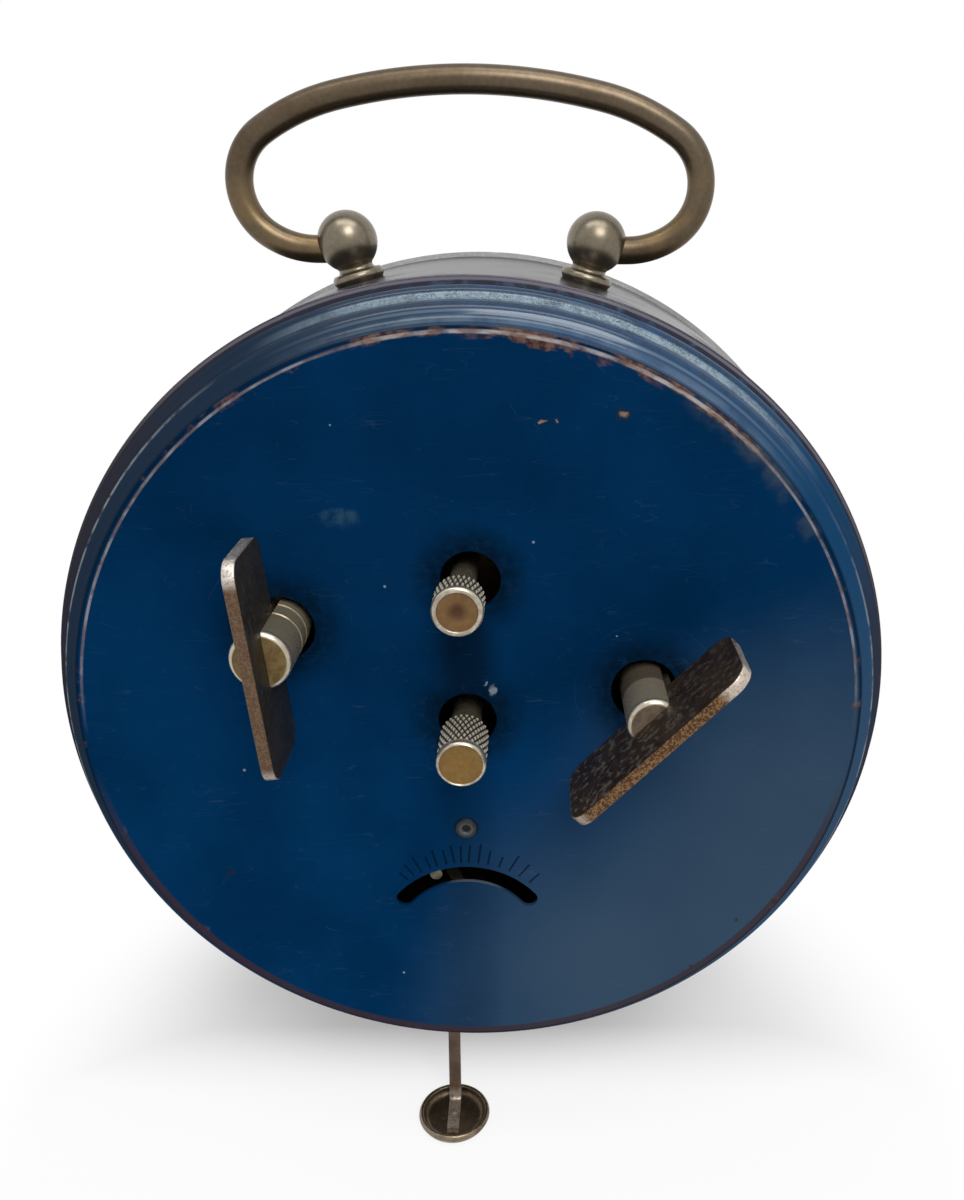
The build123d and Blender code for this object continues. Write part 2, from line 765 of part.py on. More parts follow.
with BuildPart() as movement_pillars:
    with BuildSketch(layer(rear_plate_front)):
        with Locations(*side_pillars):
            Circle(pillar_radius)
        with Locations(*top_pillars):
            Circle(top_pillar_radius)
    extrude(amount=front_plate_depth - rear_plate_front)
    with BuildSketch(layer(rear_plate_depth - 1.6)):
        with Locations(*top_pillars, *side_pillars):
            Circle(pillar_stud)
    extrude(amount=front_plate_front - rear_plate_depth + 1.6)
    for side in (-1, 1):
        tilt = side * post_angle
        radial = (sin(radians(tilt)), 0, cos(radians(tilt)))
        with BuildSketch(Plane(origin=point((0, 0), handle_depth), z_dir=radial)):
            Circle(stud_radius + running_gap)
        extrude(amount=drum_radius, mode=Mode.SUBTRACT)

with BuildPart() as pillar_nuts:
    with BuildSketch(layer(rear_plate_depth - 1.4)):
        with Locations(*top_pillars, *side_pillars):
            RegularPolygon(2.4, 6)
            Circle(pillar_stud, mode=Mode.SUBTRACT)
    extrude(amount=1.4)

with BuildPart() as cover_stud:
    with BuildSketch(layer(cover_wall)):
        with Locations(cover_screw_place):
            Circle(1.6)
    extrude(amount=rear_plate_depth - cover_wall)
    with BuildSketch(layer(rear_plate_depth)):
        with Locations(cover_screw_place):
            Circle(1.0)
    extrude(amount=plate_thickness)
    with BuildSketch(layer(cover_wall)):
        with Locations(cover_screw_place):
            Circle(cover_screw_shank)
    extrude(amount=5.0, mode=Mode.SUBTRACT)

with BuildPart() as cover_screw:
    with BuildSketch(turning_plane(cover_screw_place)):
        with BuildLine():
            Polyline((0.3, -0.1), (0, -0.1), (0, 5.0), (cover_screw_shank, 5.0), (cover_screw_shank, 0))
            Polyline((cover_screw_shank, 0), (cover_screw_head, 0), (cover_screw_head, -0.1))
            ThreePointArc((cover_screw_head, -0.1), (1.0, -0.33), (0.35, -0.4))
            Line((0.35, -0.4), (0.3, -0.1))
        make_face()
    revolve(axis=arbor_axis(cover_screw_place))


# ---------------------------------------------------------------- winding keys and barrels
def key_barrel(place, radius, face, wing_front, wing_angle, groove=0.0):
    """Turned key hub: screwed on the winding arbor, slotted across its face for the wing."""
    wing_line = (cos(radians(wing_angle)), 0, sin(radians(wing_angle)))
    with BuildPart() as barrel:
        with BuildSketch(turning_plane(place)):
            with BuildLine():
                Polyline(
                    (0, face),
                    (radius - 0.3, face),
                    (radius, face + 0.3),
                    (radius, key_hub_front),
                    (key_arbor_radius, key_hub_front),
                    (key_arbor_radius, key_arbor_rear),
                    (0, key_arbor_rear),
                    close=True,
                )
            make_face()
        revolve(axis=arbor_axis(place))
        with BuildSketch(Plane(origin=point(place, face), x_dir=wing_line, z_dir=(0, -1, 0))):
            Rectangle(2 * radius + 1, wing_thickness)
        extrude(amount=wing_front - face, mode=Mode.SUBTRACT)
        if groove:
            with BuildSketch(layer(key_groove_front - key_groove_width)):
                with Locations(place):
                    Circle(radius + 1)
                    Circle(radius - groove, mode=Mode.SUBTRACT)
            extrude(amount=key_groove_width, mode=Mode.SUBTRACT)
    return barrel


def key_wing(place, rear, front, angle):
    """Flat wing of a key, standing in the slot of its barrel."""
    wing_line = (cos(radians(angle)), 0, sin(radians(angle)))
    square_to_wing = (sin(radians(angle)), 0, -cos(radians(angle)))
    middle = (rear + front) / 2
    with BuildPart() as wing:
        with BuildSketch(Plane(origin=point(place, middle), x_dir=wing_line, z_dir=square_to_wing)):
            RectangleRounded(wing_length, front - rear, wing_corner)
        extrude(amount=wing_thickness / 2, both=True)
    return wing


def winding_arbor(place):
    with BuildPart() as arbor:
        with BuildSketch(layer(key_arbor_rear)):
            with Locations(place):
                Circle(key_arbor_radius)
        extrude(amount=front_plate_depth - end_shake - key_arbor_rear)
        with BuildSketch(layer(front_plate_depth - end_shake)):
            with Locations(place):
                Circle(hand_arbor)
        extrude(amount=plate_thickness + end_shake)
    return arbor


def ratchet_wheel(place, angle):
    with BuildPart() as ratchet:
        with BuildSketch(layer(ratchet_layer)):
            with BuildLine():
                Polyline(*saw_outline(place, ratchet_teeth, ratchet_root, ratchet_tip, angle), close=True)
            make_face()
            with Locations(place):
                Circle(key_arbor_radius, mode=Mode.SUBTRACT)
        extrude(amount=wheel_thickness)
    return ratchet


def click_stud_place(place, angle):
    return polar(place, hypot(*click_stud), angle + heading((0, 0), click_stud))


def ratchet_click(place, angle):
    """Click whose beak stands in a tooth of the ratchet wheel."""
    beak = [(5.25, 0.3), (5.7, 2.2), (6.0, 7.5), (7.8, 7.5), (7.3, 0.3)]
    corners = [polar(place, hypot(*corner), angle + heading((0, 0), corner)) for corner in beak]
    with BuildPart() as click:
        with BuildSketch(layer(ratchet_layer)):
            with BuildLine():
                Polyline(*corners, close=True)
            make_face()
            with Locations(click_stud_place(place, angle)):
                Circle(1.7)
                Circle(click_stud_radius + running_gap, mode=Mode.SUBTRACT)
        extrude(amount=wheel_thickness)
    return click


def great_wheel(place, teeth, module, phase, click_angle):
    """Driving wheel, loose on the winding arbor, with windows and the click's stud."""
    with BuildPart() as wheel:
        with BuildSketch(layer(great_layer)):
            with BuildLine():
                Polyline(*gear_outline(place, teeth, module, phase), close=True)
            make_face()
            with Locations(place):
                with PolarLocations(10.0, 5, click_angle + heading((0, 0), click_stud) + 36):
                    Circle(3.2, mode=Mode.SUBTRACT)
        extrude(amount=wheel_thickness)
        with BuildSketch(layer(great_layer - 1.2)):
            with Locations(place):
                Circle(3.6)
        extrude(amount=wheel_thickness + 1.8)
        with BuildSketch(layer(great_layer - 1.2)):
            with Locations(place):
                Circle(key_arbor_radius + running_gap)
        extrude(amount=wheel_thickness + 1.8, mode=Mode.SUBTRACT)
        with BuildSketch(layer(great_layer + wheel_thickness)):
            with Locations(click_stud_place(place, click_angle)):
                Circle(click_stud_radius)
        extrude(amount=ratchet_layer - great_layer + 0.4)
    return wheel


def mainspring(place, anchor, anchor_radius):
    """Coiled band round a winding arbor; its outer end is looped round a pillar."""
    inner = key_arbor_radius + 0.12 + spring_thickness / 2
    outer = inner + (spring_half_turns - 1) * spring_pitch / 2
    loop = anchor_radius + 0.05 + spring_thickness / 2
    tail = heading(place, anchor) + degrees(asin((outer - loop) / span(place, anchor)))
    with BuildPart() as spring:
        with BuildLine(layer((spring_rear + spring_front) / 2)) as coil:
            for half_turn in range(spring_half_turns):
                middle = polar(place, spring_pitch / 2 * (half_turn % 2), tail + 90)
                CenterArc(middle, inner + half_turn * spring_pitch / 2, tail + 90 + 180 * half_turn, 180)
            Line(polar(place, outer, tail - 90), polar(anchor, loop, tail - 90))
            CenterArc(anchor, loop, tail - 90, 250)
        with BuildSketch(Plane(origin=coil.line @ 0, x_dir=(0, -1, 0), z_dir=coil.line % 0)):
            Rectangle(spring_front - spring_rear, spring_thickness)
        sweep(path=coil.line)
    return spring


great_phase = heading(time_barrel, centre)
alarm_great_phase = heading(alarm_barrel, alarm_escape)

time_key_barrel = key_barrel(time_barrel, time_key_radius, time_key_face, time_wing_front, time_wing_angle)
time_key_wing = key_wing(time_barrel, time_wing_rear, time_wing_front, time_wing_angle)
time_winding_arbor = winding_arbor(time_barrel)
time_ratchet_wheel = ratchet_wheel(time_barrel, time_click_angle)
time_click = ratchet_click(time_barrel, time_click_angle)
time_great_wheel = great_wheel(time_barrel, great_teeth, great_module, great_phase, time_click_angle)
time_mainspring = mainspring(time_barrel, time_pillar, pillar_radius)

alarm_key_barrel = key_barrel(
    alarm_barrel, alarm_key_radius, alarm_key_face, alarm_wing_front, alarm_wing_angle, key_groove_depth
)
alarm_key_wing = key_wing(alarm_barrel, alarm_wing_rear, alarm_wing_front, alarm_wing_angle)
alarm_winding_arbor = winding_arbor(alarm_barrel)
alarm_ratchet_wheel = ratchet_wheel(alarm_barrel, alarm_click_angle)
alarm_click = ratchet_click(alarm_barrel, alarm_click_angle)
alarm_great_wheel = great_wheel(
    alarm_barrel, alarm_great_teeth, alarm_module, alarm_great_phase, alarm_click_angle
)
alarm_mainspring = mainspring(alarm_barrel, alarm_pillar, pillar_radius)

# ---------------------------------------------------------------- going train
centre_pinion_phase = mesh_phase(great_phase, great_teeth, centre_pinion_teeth, great_phase)
centre_phase = heading(centre, third)
third_pinion_phase = mesh_phase(centre_phase, centre_teeth, third_pinion_teeth, centre_phase)
third_phase = heading(third, fourth)
fourth_pinion_phase = mesh_phase(third_phase, third_teeth, fourth_pinion_teeth, third_phase)
fourth_phase = heading(fourth, escape)
escape_pinion_phase = mesh_phase(fourth_phase, fourth_teeth, escape_pinion_teeth, fourth_phase)
alarm_pinion_phase = mesh_phase(
    alarm_great_phase, alarm_great_teeth, alarm_pinion_teeth, alarm_great_phase
)


def train_arbor(place, wheel_outline, wheel_depth, wheel_height, leaf_outline, leaf_depth, leaf_length):
    """Wheel and pinion on one arbor, with a pivot in each plate."""
    with BuildPart() as arbor:
        with BuildSketch(layer(rear_plate_depth)):
            with Locations(place):
                Circle(pivot_radius)
        extrude(amount=front_plate_front - rear_plate_depth)
        with BuildSketch(layer(rear_plate_front + end_shake)):
            with Locations(place):
                Circle(arbor_radius)
        extrude(amount=front_plate_depth - rear_plate_front - 2 * end_shake)
        with BuildSketch(layer(wheel_depth)):
            with BuildLine():
                Polyline(*wheel_outline, close=True)
            make_face()
        extrude(amount=wheel_height)
        with BuildSketch(layer(leaf_depth)):
            with BuildLine():
                Polyline(*leaf_outline, close=True)
            make_face()
        extrude(amount=leaf_length)
    return arbor


third_wheel = train_arbor(
    third,
    gear_outline(third, third_teeth, third_module, third_phase),
    third_layer,
    wheel_thickness,
    pinion_outline(third, third_pinion_teeth, centre_module, third_pinion_phase),
    centre_layer - 0.6,
    wheel_thickness + 1.2,
)
fourth_wheel = train_arbor(
    fourth,
    gear_outline(fourth, fourth_teeth, fourth_module, fourth_phase),
    fourth_layer,
    wheel_thickness,
    pinion_outline(fourth, fourth_pinion_teeth, third_module, fourth_pinion_phase),
    third_layer - 0.6,
    wheel_thickness + 1.2,
)
escape_wheel = train_arbor(
    escape,
    saw_outline(
        escape,
        escape_teeth,
        escape_radius - escape_tooth,
        escape_radius,
        pallet_angle + escape_tooth_offset,
        escape_tooth_lean,
    ),
    escape_layer,
    thin_wheel,
    pinion_outline(escape, escape_pinion_teeth, fourth_module, escape_pinion_phase),
    fourth_layer - 0.6,
    wheel_thickness + 1.2,
)
alarm_escape_wheel = train_arbor(
    alarm_escape,
    saw_outline(
        alarm_escape,
        alarm_escape_teeth,
        alarm_escape_radius - escape_tooth,
        alarm_escape_radius,
        hammer_angle + escape_tooth_offset,
        escape_tooth_lean,
    ),
    alarm_escape_layer,
    thin_wheel,
    pinion_outline(alarm_escape, alarm_pinion_teeth, alarm_module, alarm_pinion_phase),
    great_layer - 0.6,
    wheel_thickness + 1.2,
)

with BuildPart() as centre_wheel:
    with BuildSketch(layer(centre_layer)):
        with BuildLine():
            Polyline(*gear_outline(centre, centre_teeth, centre_module, centre_phase), close=True)
        make_face()
        with Locations(centre):
            with PolarLocations(7.6, 4, centre_phase + 45):
                Circle(3.4, mode=Mode.SUBTRACT)
    extrude(amount=wheel_thickness)
    with BuildSketch(layer(great_layer - 0.6)):
        with BuildLine():
            Polyline(
                *pinion_outline(centre, centre_pinion_teeth, great_module, centre_pinion_phase), close=True
            )
        make_face()
    extrude(amount=wheel_thickness + 1.2)
    with BuildSketch(layer(centre_layer - 1.2)):
        with Locations(centre):
            Circle(hand_arbor + 0.8)
    extrude(amount=great_layer - centre_layer + wheel_thickness + 2.4)
    with BuildSketch(layer(centre_layer - 1.2)):
        with Locations(centre):
            Circle(hand_arbor + running_gap)
    extrude(amount=great_layer - centre_layer + wheel_thickness + 2.4, mode=Mode.SUBTRACT)


# ---------------------------------------------------------------- escapement and balance
def pallet_pins(wheel_place, pin_distance, angle):
    """Places of the two pallet pins, just outside the tips of an escape wheel."""
    return [polar(wheel_place, pin_distance, angle + side * pallet_spread) for side in (-1, 1)]


def anchor_outline(pivot, pins, angle):
    """Corner points of the bar that joins two pallet pins across their pivot."""
    return [
        polar(pins[0], anchor_margin, angle - 30),
        polar(pivot, 0.9, angle),
        polar(pins[1], anchor_margin, angle + 30),
        polar(pins[1], anchor_margin, angle + 180),
        polar(pivot, 0.6, angle + 180),
        polar(pins[0], anchor_margin, angle + 180),
    ]


lever_reach = span(pallet, balance)
lever_angle = heading(pallet, balance)
pallet_pin_places = pallet_pins(escape, escape_radius + pallet_pin_gap, pallet_angle)

with BuildPart() as pallet_lever:
    with BuildSketch(layer(rear_plate_depth)):
        with Locations(pallet):
            Circle(pivot_radius)
    extrude(amount=front_plate_front - rear_plate_depth)
    with BuildSketch(layer(rear_plate_front + end_shake)):
        with Locations(pallet):
            Circle(arbor_radius)
    extrude(amount=front_plate_depth - rear_plate_front - 2 * end_shake)
    with BuildSketch(layer(lever_layer)):
        with Locations(pallet):
            Circle(1.3)
        with BuildLine():
            Polyline(*anchor_outline(pallet, pallet_pin_places, pallet_angle), close=True)
        make_face()
        with Locations(polar(pallet, (lever_reach - 0.8) / 2, lever_angle)):
            Rectangle(lever_reach - 0.8, 1.1, rotation=lever_angle)
        with Locations(polar(pallet, lever_reach - 1.6, lever_angle)):
            Rectangle(1.6, 2.2, rotation=lever_angle)
        with Locations(polar(pallet, lever_reach - 1.3, lever_angle)):
            Rectangle(1.6, fork_slot, rotation=lever_angle, mode=Mode.SUBTRACT)
    extrude(amount=0.8)
    with BuildSketch(layer(lever_layer)):
        with Locations(*pallet_pin_places):
            Circle(pallet_pin_radius)
    extrude(amount=escape_layer - lever_layer + thin_wheel + 0.3)

with BuildPart() as balance_wheel:
    with BuildSketch(layer(rear_plate_depth)):
        with Locations(balance):
            Circle(pivot_radius)
    extrude(amount=front_plate_front - rear_plate_depth)
    with BuildSketch(layer(rear_plate_front + end_shake)):
        with Locations(balance):
            Circle(arbor_radius)
    extrude(amount=front_plate_depth - rear_plate_front - 2 * end_shake)
    with BuildSketch(layer(balance_layer)):
        with Locations(balance):
            Circle(balance_radius)
            Circle(balance_radius - balance_rim, mode=Mode.SUBTRACT)
            Circle(1.6)
            Rectangle(2 * balance_radius - 1, 1.4, rotation=lever_angle)
    extrude(amount=1.2)
    with BuildSketch(layer(roller_layer)):
        with Locations(balance):
            Circle(roller_radius)
    extrude(amount=0.8)
    with BuildSketch(layer(roller_layer)):
        with Locations(polar(balance, impulse_radius, lever_angle + 180)):
            Circle(impulse_pin)
    extrude(amount=lever_layer - roller_layer + 1.0)

hairspring_inner = arbor_radius + 0.1 + hairspring_thickness / 2
hairspring_outer = hairspring_inner + (hairspring_half_turns - 1) * hairspring_pitch / 2
hairspring_end = 20.0
with BuildPart() as hairspring:
    with BuildLine(layer(hairspring_layer + 0.3)) as fine_coil:
        for half_turn in range(hairspring_half_turns):
            middle = polar(balance, hairspring_pitch / 2 * (half_turn % 2), hairspring_end + 180)
            CenterArc(
                middle,
                hairspring_inner + half_turn * hairspring_pitch / 2,
                hairspring_end + 180 * (half_turn + 1),
                180,
            )
    with BuildSketch(Plane(origin=fine_coil.line @ 0, x_dir=(0, -1, 0), z_dir=fine_coil.line % 0)):
        Rectangle(0.6, hairspring_thickness)
    sweep(path=fine_coil.line)

with BuildPart() as hairspring_stud:
    with BuildSketch(layer(rear_plate_front)):
        with Locations(polar(balance, hairspring_outer + hairspring_thickness / 2 + 0.62, hairspring_end)):
            Circle(0.6)
    extrude(amount=hairspring_layer - rear_plate_front + 0.8)

with BuildPart() as regulator_lever:
    with BuildSketch(layer(rear_plate_depth - 1.3)):
        with Locations(balance):
            Circle(3.0)
        with Locations(polar(balance, (slot_radius + 2) / 2, regulator_angle)):
            Rectangle(slot_radius - 2, 1.6, rotation=regulator_angle)
        with Locations(polar(balance, slot_radius, regulator_angle)):
            Circle(0.8)
        with Locations(balance):
            Circle(1.6 + running_gap, mode=Mode.SUBTRACT)
    extrude(amount=0.8)
    with BuildSketch(layer(1.2)):
        with Locations(polar(balance, slot_radius, regulator_angle)):
            Circle(0.8)
    extrude(amount=rear_plate_depth - 1.3 - 1.2)

# ---------------------------------------------------------------- setting arbors and knobs
knob_bore_end = 1.0
with BuildPart() as centre_arbor:
    with BuildSketch(layer(time_knob_rear + knob_bore_end)):
        with Locations(centre):
            Circle(time_shaft_radius)
    extrude(amount=rear_plate_front - time_knob_rear - knob_bore_end)
    with BuildSketch(layer(rear_plate_front)):
        with Locations(centre):
            Circle(hand_arbor)
    extrude(amount=minute_hand_depth + hand_thickness + 0.9 - rear_plate_front)

with BuildPart() as alarm_set_arbor:
    with BuildSketch(layer(alarm_knob_rear + knob_bore_end)):
        with Locations(alarm_set):
            Circle(alarm_shaft_radius)
    extrude(amount=front_plate_depth - end_shake - alarm_knob_rear - knob_bore_end)
    with BuildSketch(layer(front_plate_depth - end_shake)):
        with Locations(alarm_set):
            Circle(alarm_hand_arbor)
    extrude(amount=alarm_hand_depth + hand_thickness + end_shake - front_plate_depth)


def setting_knob(place, rear, front, shaft_radius):
    """Round knob pressed on its arbor, with a shallow dish in its end face."""
    with BuildPart() as knob:
        with BuildSketch(turning_plane(place)):
            with BuildLine():
                Polyline(
                    (0, rear + knob_dish),
                    (knob_radius - 0.5, rear + knob_dish),
                    (knob_radius - 0.4, rear),
                    (knob_radius - 0.2, rear),
                    (knob_radius, rear + 0.3),
                    (knob_radius, front - 0.2),
                    (knob_radius - 0.2, front),
                    (shaft_radius, front),
                    (shaft_radius, rear + knob_bore_end),
                    (0, rear + knob_bore_end),
                    close=True,
                )
            make_face()
        revolve(axis=arbor_axis(place))
    return knob


time_set_knob = setting_knob(centre, time_knob_rear, time_knob_front, time_shaft_radius)
alarm_set_knob = setting_knob(alarm_set, alarm_knob_rear, alarm_knob_front, alarm_shaft_radius)

# ---------------------------------------------------------------- motion work
cannon_phase = heading(centre, minute_place)
minute_phase = mesh_phase(cannon_phase, cannon_teeth, minute_teeth, cannon_phase)
minute_pinion_phase = heading(minute_place, centre)
hour_phase = mesh_phase(minute_pinion_phase, minute_pinion_teeth, hour_teeth, minute_pinion_phase)
release_phase = mesh_phase(hour_phase, hour_teeth, hour_teeth, heading(centre, alarm_set))

with BuildPart() as cannon_pinion:
    with BuildSketch(layer(minute_layer - 0.3)):
        with BuildLine():
            Polyline(*pinion_outline(centre, cannon_teeth, minute_module, cannon_phase), close=True)
        make_face()
        with Locations(centre):
            Circle(hand_arbor, mode=Mode.SUBTRACT)
    extrude(amount=wheel_thickness + 0.6)
    with BuildSketch(layer(minute_layer - 0.3)):
        with Locations(centre):
            Circle(cannon_pipe)
            Circle(hand_arbor, mode=Mode.SUBTRACT)
    extrude(amount=minute_hand_depth - minute_layer + 0.3)

with BuildPart() as minute_wheel:
    with BuildSketch(layer(minute_layer)):
        with BuildLine():
            Polyline(*gear_outline(minute_place, minute_teeth, minute_module, minute_phase), close=True)
        make_face()
    extrude(amount=wheel_thickness)
    with BuildSketch(layer(minute_layer + wheel_thickness)):
        with BuildLine():
            Polyline(
                *pinion_outline(minute_place, minute_pinion_teeth, hour_module, minute_pinion_phase),
                close=True,
            )
        make_face()
    extrude(amount=hour_layer + wheel_thickness - minute_layer - 0.8)
    with BuildSketch(layer(minute_layer)):
        with Locations(minute_place):
            Circle(alarm_hand_arbor + running_gap)
    extrude(amount=hour_layer + wheel_thickness - minute_layer + 0.2, mode=Mode.SUBTRACT)

with BuildPart() as hour_wheel:
    with BuildSketch(layer(hour_layer)):
        with BuildLine():
            Polyline(*gear_outline(centre, hour_teeth, hour_module, hour_phase), close=True)
        make_face()
    extrude(amount=wheel_thickness)
    with BuildSketch(layer(hour_layer)):
        with Locations(centre):
            Circle(hour_pipe)
    extrude(amount=hour_hand_depth + hand_thickness - hour_layer)
    with BuildSketch(layer(hour_layer)):
        with Locations(centre):
            Circle(cannon_pipe + running_gap)
    extrude(amount=hour_hand_depth + hand_thickness - hour_layer, mode=Mode.SUBTRACT)

with BuildPart() as alarm_release_wheel:
    with BuildSketch(layer(hour_layer)):
        with BuildLine():
            Polyline(*gear_outline(alarm_set, hour_teeth, hour_module, release_phase), close=True)
        make_face()
    extrude(amount=wheel_thickness)
    with BuildSketch(layer(minute_layer)):
        with Locations(alarm_set):
            Circle(2.0)
    extrude(amount=dial_depth - minute_layer - 0.6)
    with BuildSketch(layer(minute_layer)):
        with Locations(alarm_set):
            Circle(alarm_hand_arbor + running_gap)
    extrude(amount=dial_depth - minute_layer - 0.6, mode=Mode.SUBTRACT)


# ---------------------------------------------------------------- hands
def clock_hand(place, depth, length, clock_angle, boss, bore, width):
    """Spade-shaped hand from its boss to its tip, with a short tail."""
    with BuildPart() as hand:
        with BuildSketch(layer(depth)):
            with Locations(Location((*place, 0), 90 - clock_angle)):
                Polygon(
                    (-0.18 * length, 0.9 * width),
                    (-0.18 * length, -0.9 * width),
                    (0, -0.5 * width),
                    (0.7 * length, -width),
                    (length, -0.12 * width),
                    (length, 0.12 * width),
                    (0.7 * length, width),
                    (0, 0.5 * width),
                    align=None,
                )
            with Locations(place):
                Circle(boss)
                Circle(bore, mode=Mode.SUBTRACT)
        extrude(amount=hand_thickness)
    return hand


minute_hand = clock_hand(
    centre, minute_hand_depth, minute_hand_length, minute_hand_angle, 2.6, hand_arbor, 1.5
)
hour_hand = clock_hand(centre, hour_hand_depth, hour_hand_length, hour_hand_angle, 3.4, hour_pipe, 2.2)
alarm_hand = clock_hand(
    alarm_set, alarm_hand_depth, alarm_hand_length, alarm_hand_angle, 1.6, alarm_hand_arbor, 0.6
)

with BuildPart() as hand_nut:
    with BuildSketch(layer(minute_hand_depth + hand_thickness)):
        with Locations(centre):
            Circle(2.0)
            Circle(hand_arbor, mode=Mode.SUBTRACT)
    extrude(amount=0.9)

# ---------------------------------------------------------------- alarm hammer
verge_pin_places = pallet_pins(alarm_escape, alarm_escape_radius + verge_pin_gap, hammer_angle)
hammer_head = polar(hammer_pivot, hammer_length, hammer_arm_angle)

with BuildPart() as hammer:
    with BuildSketch(layer(rear_plate_depth)):
        with Locations(hammer_pivot):
            Circle(pivot_radius)
    extrude(amount=front_plate_front - rear_plate_depth)
    with BuildSketch(layer(rear_plate_front + end_shake)):
        with Locations(hammer_pivot):
            Circle(arbor_radius)
    extrude(amount=front_plate_depth - rear_plate_front - 2 * end_shake)
    with BuildSketch(layer(verge_layer)):
        with Locations(hammer_pivot):
            Circle(1.5)
        with BuildLine():
            Polyline(*anchor_outline(hammer_pivot, verge_pin_places, hammer_angle), close=True)
        make_face()
    extrude(amount=0.8)
    with BuildSketch(layer(verge_layer)):
        with Locations(*verge_pin_places):
            Circle(pallet_pin_radius)
    extrude(amount=alarm_escape_layer - verge_layer + thin_wheel + 0.3)
    with BuildSketch(layer(hammer_layer)):
        with Locations(hammer_pivot):
            Circle(1.5)
        with Locations(polar(hammer_pivot, hammer_length / 2, hammer_arm_angle)):
            Rectangle(hammer_length, 1.2, rotation=hammer_arm_angle)
    extrude(amount=1.2)
    with BuildSketch(layer(hammer_layer - 1.5)):
        with Locations(hammer_head):
            Circle(hammer_head_radius)
    extrude(amount=4.2)

# ---------------------------------------------------------------- labels and files
pieces = {
    "rear_cover": rear_cover,
    "case_drum": case_drum,
    "front_bezel": front_bezel,
    "glass": glass,
    "dial_ring": dial_ring,
    "dial": dial,
    "dial_feet": dial_feet,
    "handle": handle,
    "handle_post_left": handle_post_left,
    "handle_post_right": handle_post_right,
    "front_foot_left": front_foot_left,
    "front_foot_right": front_foot_right,
    "rear_leg": rear_leg,
    "rear_foot_pad": rear_foot_pad,
    "pad_rivet": pad_rivet,
    "rear_leg_screw": rear_leg_screw,
    "case_nuts": case_nuts,
    "rear_plate": rear_plate,
    "front_plate": front_plate,
    "movement_pillars": movement_pillars,
    "pillar_nuts": pillar_nuts,
    "cover_stud": cover_stud,
    "cover_screw": cover_screw,
    "time_key_barrel": time_key_barrel,
    "time_key_wing": time_key_wing,
    "time_winding_arbor": time_winding_arbor,
    "time_ratchet_wheel": time_ratchet_wheel,
    "time_click": time_click,
    "time_great_wheel": time_great_wheel,
    "time_mainspring": time_mainspring,
    "alarm_key_barrel": alarm_key_barrel,
    "alarm_key_wing": alarm_key_wing,
    "alarm_winding_arbor": alarm_winding_arbor,
    "alarm_ratchet_wheel": alarm_ratchet_wheel,
    "alarm_click": alarm_click,
    "alarm_great_wheel": alarm_great_wheel,
    "alarm_mainspring": alarm_mainspring,
    "centre_wheel": centre_wheel,
    "third_wheel": third_wheel,
    "fourth_wheel": fourth_wheel,
    "escape_wheel": escape_wheel,
    "pallet_lever": pallet_lever,
    "balance_wheel": balance_wheel,
    "hairspring": hairspring,
    "hairspring_stud": hairspring_stud,
    "regulator_lever": regulator_lever,
    "centre_arbor": centre_arbor,
    "time_set_knob": time_set_knob,
    "cannon_pinion": cannon_pinion,
    "minute_wheel": minute_wheel,
    "hour_wheel": hour_wheel,
    "minute_hand": minute_hand,
    "hour_hand": hour_hand,
    "hand_nut": hand_nut,
    "alarm_set_arbor": alarm_set_arbor,
    "alarm_set_knob": alarm_set_knob,
    "alarm_release_wheel": alarm_release_wheel,
    "alarm_hand": alarm_hand,
    "alarm_escape_wheel": alarm_escape_wheel,
    "hammer": hammer,
}
for name, piece in pieces.items():
    piece.part.label = name
    export_step(piece.part, f"parts/{name}.step")
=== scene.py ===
# %% [markdown]
# # A wind-up alarm clock, seen from behind
# This lesson dresses a finished clock model: a blue enamelled back with two winding keys and
# two setting knobs, a nickelled drum, a bronze bail handle, and a dial behind glass.
# The working model is loaded first and never changed. Every new piece is made around it, in
# metres, and is told which moving body carries it.

# %% Load the clock's working model
import bpy
from math import asin, atan2, cos, degrees, floor, pi, radians, sin, sqrt, tan
from mathutils import Matrix, Vector


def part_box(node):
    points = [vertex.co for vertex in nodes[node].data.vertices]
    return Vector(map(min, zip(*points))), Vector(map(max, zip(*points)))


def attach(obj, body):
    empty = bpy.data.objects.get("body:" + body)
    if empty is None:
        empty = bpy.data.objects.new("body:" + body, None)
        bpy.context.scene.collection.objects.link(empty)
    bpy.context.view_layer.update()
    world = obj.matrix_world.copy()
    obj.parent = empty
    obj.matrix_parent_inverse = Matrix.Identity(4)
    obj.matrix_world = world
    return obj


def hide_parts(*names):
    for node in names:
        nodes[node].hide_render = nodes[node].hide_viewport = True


for name in ("Cube", "Light", "Camera"):
    if name in bpy.data.objects:
        bpy.data.objects.remove(bpy.data.objects[name])
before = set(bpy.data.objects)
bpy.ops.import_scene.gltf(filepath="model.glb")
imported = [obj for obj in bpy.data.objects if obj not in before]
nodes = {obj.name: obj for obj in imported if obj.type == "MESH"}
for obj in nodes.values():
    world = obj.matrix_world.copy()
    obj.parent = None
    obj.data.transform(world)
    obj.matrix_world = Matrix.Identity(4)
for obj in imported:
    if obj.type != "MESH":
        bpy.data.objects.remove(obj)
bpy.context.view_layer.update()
bpy.ops.object.select_all(action="DESELECT")
mm = 0.001
bpy.context.scene.view_settings.view_transform = "Standard"

# %% [markdown]
# ## Where things are
# The case is a drum lying on its side. Two numbers place it: the height of its axis over the
# table, and the place of the flat blue back along Y. Both are read from the model. A place on
# the clock is then an (x, z) pair from the axis, as seen from the dial side, and a depth from
# the back towards the dial, all in millimetres.

